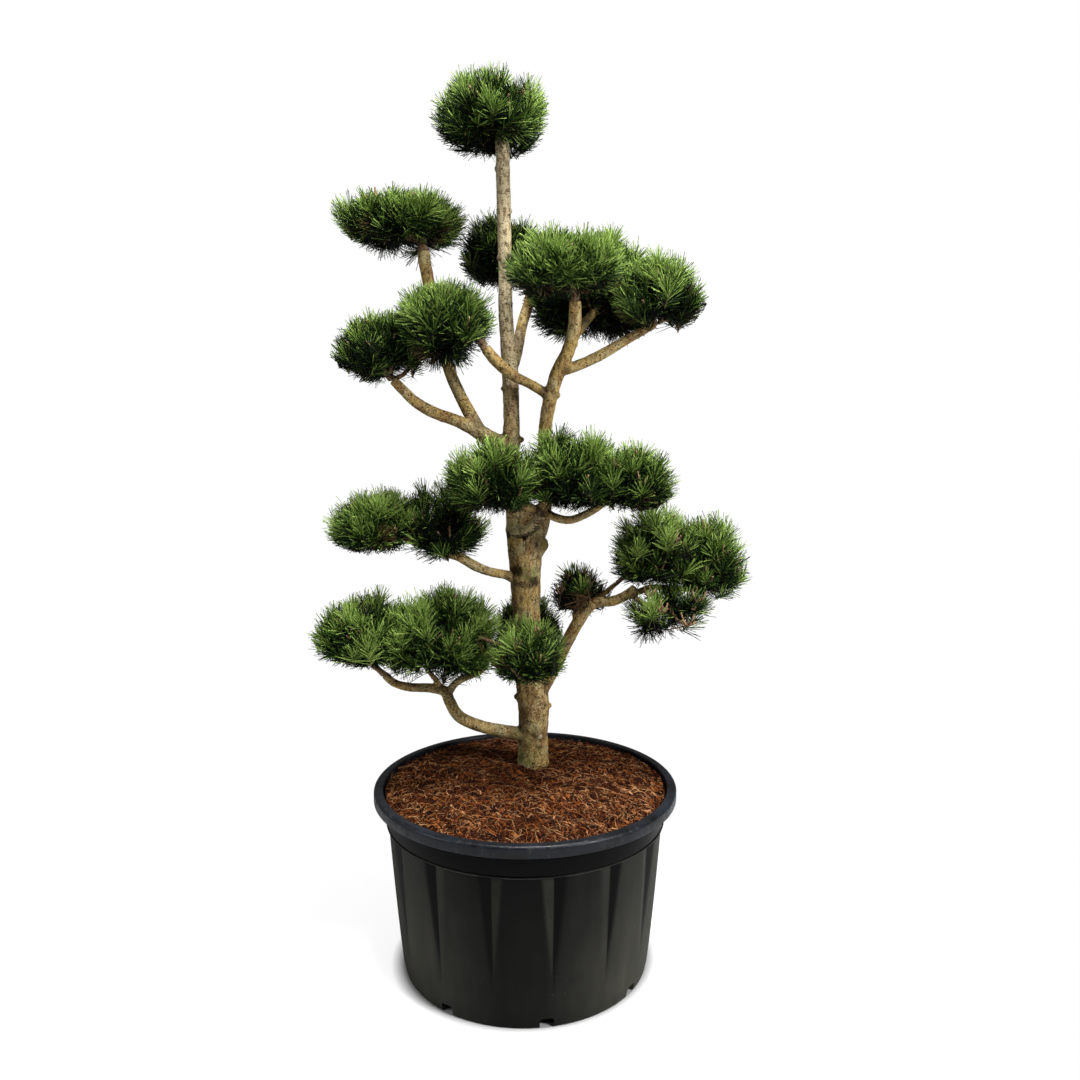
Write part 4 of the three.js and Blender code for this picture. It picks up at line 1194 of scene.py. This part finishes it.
def even_directions(count, lowest, turn):
    """Directions spread evenly by the golden angle, from straight up down to lowest."""
    height = 1 - (np.arange(count) + 0.5) / count * (1 - lowest)
    flat = np.sqrt(1 - height ** 2)
    angle = turn + np.arange(count) * GOLDEN_ANGLE
    return np.stack([flat * np.cos(angle), flat * np.sin(angle), height], 1)


def unit(vectors):
    return vectors / np.maximum(np.linalg.norm(vectors, axis=-1, keepdims=True), 1e-9)


def square_to(directions):
    """Two directions square to each given one and to each other."""
    helper = np.where(np.abs(directions[:, 2:3]) > 0.9, [[1.0, 0.0, 0.0]], [[0.0, 0.0, 1.0]])
    first = unit(np.cross(directions, helper))
    return first, np.cross(directions, first)


def stem_of(name):
    """The stem that grows on from the bough's tip to the middle of its cloud."""
    carrier, thick = smooth_path(LIMBS[MASSES[name].limb])
    middle = space_of(name)[0]
    foot, lead = carrier[-1], carrier[-1] - carrier[-2]
    bend = foot + lead / np.linalg.norm(lead) * np.linalg.norm(foot - middle) * 0.25
    radius = thick[-1] * 0.96 / MM
    rows = [(*(foot / MM), radius), (*(bend / MM), max(radius * 0.7, 6)), (*(middle / MM), 5)]
    return smooth_path(rows, 14.0)


class TwigWood:
    """Collects tapering twigs, which are joined to one mesh at the end."""

    def __init__(self):
        self.points, self.triangles, self.count = [], [], 0

    def add(self, rings, radii, sides):
        """Twigs with the same number of rings: rings is (twigs, rings, 3), radii (twigs, rings)."""
        twigs, steps = rings.shape[:2]
        first, second = square_to(unit(rings[:, -1] - rings[:, 0]))
        turns = np.arange(sides) * 2 * math.pi / sides
        ring = (first[:, None, None] * np.cos(turns)[:, None]
                + second[:, None, None] * np.sin(turns)[:, None])
        points = rings[:, :, None] + ring * radii[:, :, None, None]
        faces = []
        for step in range(steps - 1):
            for side in range(sides):
                a, b = step * sides + side, step * sides + (side + 1) % sides
                faces += [(a, b, b + sides), (a, b + sides, a + sides)]
        last = (steps - 1) * sides
        faces += [(0, i + 1, i) for i in range(1, sides - 1)]
        faces += [(last, last + i, last + i + 1) for i in range(1, sides - 1)]
        starts = self.count + np.arange(twigs) * steps * sides
        self.points.append(points.reshape(-1, 3))
        self.triangles.append((np.array(faces)[None] + starts[:, None, None]).reshape(-1, 3))
        self.count += twigs * steps * sides

    def branch_out(self, rng, parents, children, thick, thin, sides, sag=0.12):
        """Adds a bent twig to each child from its nearest parent."""
        gaps = np.linalg.norm(children[:, None] - parents[None], axis=2)
        roots = parents[np.argmin(gaps, 1)]
        span = np.linalg.norm(children - roots, axis=1, keepdims=True)
        bend = (roots + children) / 2 - UP * sag * span + rng.normal(0, 0.06, children.shape) * span
        self.add(np.stack([roots, bend, children], 1),
                 np.tile([thick, (thick + thin) / 2, thin], (len(children), 1)), sides)


def boughlets(rng, name, foot):
    """Ends of the short boughs that a limb forks into where it enters its cloud."""
    _, half_x, half_y, _, below = space_of(name)
    turn = rng.random() * 2 * math.pi + np.arange(6) * math.pi / 3 + rng.normal(0, 0.25, 6)
    reach = rng.uniform(0.38, 0.6, 6)
    rise = below * rng.uniform(0.35, 0.65, 6)
    return foot + np.stack([np.cos(turn) * half_x * reach, np.sin(turn) * half_y * reach, rise], 1)


def spray_template(rng, settings):
    """One spray along +Z: needles packed round the shoot, each an edge at its foot and its end."""
    count = settings.needles
    index = np.arange(count)
    along = 0.06 + 0.94 * (index + rng.random(count)) / count
    turn = index * GOLDEN_ANGLE + rng.normal(0, 0.25, count)
    splay = np.radians(70 - 52 * along + rng.normal(0, 9, count))
    out = np.stack([np.cos(turn), np.sin(turn), np.zeros(count)], 1)
    aim = out * np.sin(splay)[:, None] + UP * np.cos(splay)[:, None]
    roots = UP * (along * settings.shoot)[:, None] + out * 0.0008
    reach = settings.needle * rng.uniform(0.7, 1.2, count) * (1 - 0.12 * along)
    first, second = square_to(aim)
    roll = rng.random(count)[:, None] * math.pi
    foot = (first * np.cos(roll) + second * np.sin(roll)) * settings.needle_width / 2
    end = np.cross(aim, foot) * 0.8
    tips = roots + aim * reach[:, None]
    return np.stack([roots - foot, roots + foot, tips - end, tips + end], 1)


def clumps_of(rng, name):
    """What a cloud is made of, as middles and half sizes: the whole of it, then its clumps."""
    middle, half_x, half_y, above, below = space_of(name)
    count = 6 + round((half_x + half_y) * 12)
    middles = points_at(name, even_directions(count, -0.42, rng.random() * 6),
                        rng.uniform(0.52, 0.66, count))
    whole = np.array([half_x, half_y, (above + below) / 2])
    sizes = whole * (1, 1, 1.15) * 0.44 * rng.uniform(0.8, 1.15, (count, 1))
    return np.vstack([middle, middles]), np.vstack([whole, sizes])


def outside_area(size):
    """Nearly the area of an ellipsoid's outside, from its half sizes."""
    power = 1.6
    pairs = (size[0] * size[1], size[0] * size[2], size[1] * size[2])
    return 4 * math.pi * (sum(pair ** power for pair in pairs) / 3) ** (1 / power)


def clump_sprays(rng, name, settings, middles, sizes, index):
    """Tips, facings, headings and depths of one clump's sprays, where no other clump hides them.

    The first clump is the whole cloud, whose sprays follow its space with a lumpy outside."""
    size, whole = sizes[index], index == 0
    share = 1.7 if whole else 0.85
    count = int(outside_area(size) * settings.sprays * MASSES[name].full * share)
    heading = even_directions(count, -0.9, rng.random() * 6)
    shares, nearest, furthest = zip(*LAYERS)
    layer = rng.choice(len(LAYERS), count, p=shares)
    depth = np.choose(layer, [rng.uniform(*ends, count) for ends in zip(nearest, furthest)])
    buried = np.zeros(count)
    if whole:
        tips = points_at(name, heading, depth)
        depth = depth - 0.07 + 0.16 * lumpiness(tips, 8.0, 2.0) + 0.08 * lumpiness(tips, 19.0, 7.0)
        tips = points_at(name, heading, depth)
    else:
        tips = middles[index] + heading * size * depth[:, None]
        for other in range(1, len(middles)):
            if other != index:
                gap = np.linalg.norm((tips - middles[other]) / sizes[other], axis=1)
                buried = np.maximum(buried, 1 - gap)
    rise = unit(tips - middles[0])[:, 2]
    below_share = np.interp(rise, [-0.9, -0.5, -0.2, 0.05], [0.45, 0.65, 0.95, 1.0])
    kept = (buried < 0.22) & (reach_in(name, tips) < 1.04) & (rng.random(count) < below_share)
    return tips[kept], unit(heading / size)[kept], heading[kept], (depth - 0.5 * buried)[kept]


def cloud_sprays(rng, name, settings):
    """Where a cloud's sprays stand and aim, how much painted light each gets, and the clumps they
    make up.
    """
    middles, sizes = clumps_of(rng, name)
    rows = [clump_sprays(rng, name, settings, middles, sizes, index)
            for index in range(len(middles))]
    tips, facing, heading, depth = (np.concatenate(column) for column in zip(*rows))
    direction = unit(tips - middles[0])
    count = len(tips)
    lift = np.interp(direction[:, 2], [-0.9, -0.4, 0.3, 1], [0.1, 0.7, 1.05, 0.6])
    axis = unit(unit(facing + 0.35 * direction) + UP * lift[:, None]
                + rng.normal(0, 0.22, (count, 3)))
    scale = rng.uniform(0.84, 1.08, count)
    roots = tips - axis * ((settings.shoot + settings.needle * 0.84) * scale)[:, None]
    # Painted light: sprays high in a cloud, on its outside, facing out and at its ends get more,
    # and deep, low and inward ones get painted shade.
    light = (0.32 + 0.26 * direction[:, 2] + 0.14 * heading[:, 2] + 1.1 * (depth - 0.93)
             + 1.2 * (reach_in(name, tips) - 0.9) + 0.12 * axis[:, 2] + MASSES[name].tone
             + rng.normal(0, 0.13, count) + 0.22 * ((heading * direction).sum(1) - 0.6)
             + 0.24 * lumpiness(tips, 17.0, 4.0) + 0.12 * np.abs(direction[:, 0]))
    return (roots, axis, scale, light, direction[:, 2]), middles[1:], sizes[1:]


def deal_colours(rng, light, rise, needles):
    """Colours for each spray, from bright tips on top to shaded and withered ones below.

    A spray's needles nearer its foot are dealt darker as painted shade, and its needles differ a
    little."""
    # Painted shade at a spray's foot: the more painted light, the lighter the green dealt.
    foot_shade = 0.3 * (np.arange(needles) < 0.45 * needles)
    uneven = rng.normal(0, 0.29, (len(light), needles))
    colours = np.digitize(-light[:, None] + foot_shade + uneven, [-0.80, -0.62, -0.42, -0.20])
    withered = rng.random(len(light)) < np.interp(rise, [-0.9, -0.2, 0.3], [0.07, 0.035, 0.006])
    return np.where(withered[:, None], WITHERED, colours).ravel()


class PINE_OT_clouds(Operator):
    """Clouds of needles on twigs that grow on from the boughs"""
    bl_idname = "pine.clouds"
    bl_label = "Twigs and needles"

    def execute(self, context):
        settings = context.scene.pine_foliage
        # The greens from painted highlight to painted shade, and the withered needles.
        looks = [needle_look(f"{shade} green needles", getattr(settings, f"{shade}_green"))
                 for shade in ("tip", "light", "mid", "deep", "shade")]
        looks.append(needle_look("withered needles", settings.dead_brown, 0.7))
        template_rng = np.random.default_rng(5)
        templates = np.stack([spray_template(template_rng, settings) for _ in range(12)])
        stems = {name: stem_of(name) for name in MASSES}
        wood = TwigWood()
        for piece, masses in CLOUDS.items():
            clouds = [self.grow(name, settings, templates, stems, wood) for name in masses]
            points, dealt = (np.concatenate(rows) for rows in zip(*clouds))
            starts = np.arange(len(points)) * 4
            triangles = (NEEDLE_FACES[None] + starts[:, None, None]).reshape(-1, 3)
            made = joined_mesh(piece, points.reshape(-1, 3), triangles, looks, np.repeat(dealt, 4))
            seat(made, masses)
        twigs = joined_mesh("twigs", np.vstack(wood.points), np.vstack(wood.triangles),
                            [twig_look(settings)], smooth=True)
        seat(twigs, [])
        return {"FINISHED"}

    def grow(self, name, settings, templates, stems, wood):
        """One cloud: its twigs, then shoots and their needles, clear of other wood."""
        rng = np.random.default_rng(100 + list(MASSES).index(name))
        foot = stems[name][0][0]
        near = wood_near(name, stems)
        sprays, middles, sizes = cloud_sprays(rng, name, settings)
        ends = self.grow_twigs(rng, name, stems[name], near, middles, sizes, wood)
        roots, axis, scale = sprays[:3]
        nearest = ends[np.argmin(np.linalg.norm(roots[:, None] - ends[None], axis=2), 1)]
        tips = roots + axis * (settings.shoot * scale)[:, None]
        open_reach = 0.08 if name in OPEN_BELOW else 0.035
        bare = np.linalg.norm((tips - foot) * (1, 0.65, 1.35), axis=1) < open_reach
        kept = (~bare & stays_in_space(name, roots) & stays_in_space(name, tips)
                & clear_of_wood(roots, tips, near, 0.004)
                & clear_of_wood(nearest, roots, near, 0.003))
        roots, axis, scale, light, rise = (row[kept] for row in sprays)
        wood.add(np.stack([nearest[kept], roots, tips[kept]], 1),
                 np.tile([0.0028, 0.0022, 0.0011], (len(roots), 1)), 3)
        needles = self.turn_templates(rng, templates, roots, axis, scale)
        colours = deal_colours(rng, light, rise, needles.shape[1])
        needles = needles.reshape(-1, 4, 3)
        feet, ends = needles[:, :2].mean(1), needles[:, 2:].mean(1)
        kept = stays_in_space(name, ends) & clear_of_wood(feet, ends, near, 0.001)
        return needles[kept], colours[kept]

    def grow_twigs(self, rng, name, stem, near, middles, sizes, wood):
        """The stem, its forks and boughlets, and the clumps' twigs. Gives where shoots start."""
        points, radii = stem
        wood.add(points[None], radii[None], 7)
        middle = np.tile(space_of(name)[0], (len(middles), 1))
        forks = middles - UP * sizes[:, 2:] * 0.35
        forks = forks[clear_of_wood(middle, forks, near)]
        wood.branch_out(rng, points[len(points) // 4:], forks, 0.0066, 0.004, 5)
        short = boughlets(rng, name, points[0])
        short = short[(reach_in(name, short) < 0.78) & stays_in_space(name, short)
                      & clear_of_wood(np.tile(points[1], (len(short), 1)), short, near, 0.006)]
        wood.branch_out(rng, points[:3], short, 0.0088, 0.0045, 6, 0.15)
        twigs = np.concatenate([centre + even_directions(6, -0.5, rng.random() * 3) * size * 0.42
                                for centre, size in zip(middles, sizes)])
        twigs = twigs[stays_in_space(name, twigs)]
        wood.branch_out(rng, forks, twigs, 0.0038, 0.0026, 4)
        return np.vstack([forks, twigs])

    def turn_templates(self, rng, templates, roots, axis, scale):
        """A spray on each shoot: one of the templates, scaled, turned along the shoot and spun."""
        first, second = square_to(axis)
        spin = rng.random(len(axis))[:, None] * 2 * math.pi
        side = first * np.cos(spin) + second * np.sin(spin)
        shape = templates[rng.integers(0, len(templates), len(axis))] * scale[:, None, None, None]
        return (roots[:, None, None] + shape[..., 0:1] * side[:, None, None]
                + shape[..., 1:2] * np.cross(axis, side)[:, None, None]
                + shape[..., 2:3] * axis[:, None, None])


# Stage

class PINE_OT_stage(Operator):
    """Pale floor, soft studio light and the camera"""
    bl_idname = "pine.stage"
    bl_label = "Stage"

    def execute(self, context):
        settings = context.scene.pine_stage
        deselect()
        bpy.ops.mesh.primitive_circle_add(vertices=96, radius=60, fill_type="NGON")
        floor = context.object
        floor.name = floor.data.name = "floor"
        floor.data.materials.append(floor_look(settings))
        self.sky(context)
        self.lamp("overhead light", (0.5, -1.1, 5.2), (13, 5, 0), 1.3, 420)
        self.lamp("right light", (3.7, -2.9, 3.2), (68, 0, 52), 1.2, 270)
        self.lamp("left light", (-4.2, -1.6, 2.8), (68, 0, -70), 1.5, 60)
        bpy.ops.object.camera_add(location=(0.045, -2.75, 1.65), rotation=(math.radians(83), 0, 0))
        camera = context.object
        camera.name = "camera"
        camera.data.sensor_width = 36
        camera.data.lens = settings.lens
        context.scene.camera = camera
        context.scene.view_settings.view_transform = "Standard"
        context.scene.view_settings.look = "None"
        return {"FINISHED"}

    def lamp(self, name, place, turn, size, power):
        bpy.ops.object.light_add(type="AREA", location=place,
                                 rotation=[math.radians(angle) for angle in turn])
        lamp = bpy.context.object
        lamp.name = name
        lamp.data.shape = "SQUARE"
        lamp.data.size = size
        lamp.data.energy = power

    def sky(self, context):
        """A white studio: plain white to the eye, softer from the front as a light."""
        world = bpy.data.worlds.new("studio")
        world.use_nodes = True
        world.node_tree.nodes.clear()
        nodes = Nodes(world.node_tree)
        place = nodes.node("ShaderNodeTexCoord").outputs["Generated"]
        heading = nodes.node("ShaderNodeSeparateXYZ", Vector=place).outputs
        strength = nodes.maths("ADD", nodes.spread(heading["Y"], -0.95, 0.2, 0.02, 0.17),
                               nodes.spread(heading["Z"], 0.0, 0.9, 0.0, 0.10))
        light = nodes.node("ShaderNodeBackground", Color=(1, 1, 1), Strength=strength)
        seen = nodes.node("ShaderNodeBackground", Color=(1, 1, 1), Strength=1.0)
        both = nodes.node("ShaderNodeMixShader")
        way = nodes.node("ShaderNodeLightPath").outputs["Is Camera Ray"]
        for socket, source in zip(both.inputs, (way, light.outputs[0], seen.outputs[0])):
            nodes.feed(socket, source)
        nodes.node("ShaderNodeOutputWorld", Surface=both.outputs[0])
        context.scene.world = world


class PINE_PT_panel(Panel):
    bl_label = "Potted Pine"
    bl_idname = "PINE_PT_panel"
    bl_space_type = "VIEW_3D"
    bl_region_type = "UI"
    bl_category = "Pine"

    def draw(self, context):
        for operator, settings in STEPS:
            box = self.layout.box()
            box.operator(operator.bl_idname)
            values = getattr(context.scene, settings)
            for name in type(values).__annotations__:
                box.prop(values, name)


SETTINGS = {"pine_pot": PotSettings, "pine_soil": SoilSettings, "pine_bark": BarkSettings,
            "pine_foliage": FoliageSettings, "pine_stage": StageSettings}
STEPS = ((PINE_OT_pot, "pine_pot"), (PINE_OT_mulch, "pine_soil"), (PINE_OT_bark, "pine_bark"),
         (PINE_OT_clouds, "pine_foliage"), (PINE_OT_stage, "pine_stage"))


def register():
    for name, group in SETTINGS.items():
        bpy.utils.register_class(group)
        setattr(bpy.types.Scene, name, PointerProperty(type=group))
    for operator, _ in STEPS:
        bpy.utils.register_class(operator)
    bpy.utils.register_class(PINE_PT_panel)


def unregister():
    bpy.utils.unregister_class(PINE_PT_panel)
    for operator, _ in reversed(STEPS):
        bpy.utils.unregister_class(operator)
    for name, group in reversed(SETTINGS.items()):
        delattr(bpy.types.Scene, name)
        bpy.utils.unregister_class(group)


def main():
    register()
    bpy.ops.pine.pot()
    bpy.ops.pine.mulch()
    bpy.ops.pine.bark()
    bpy.ops.pine.clouds()
    bpy.ops.pine.stage()


if __name__ == "__main__":
    main()
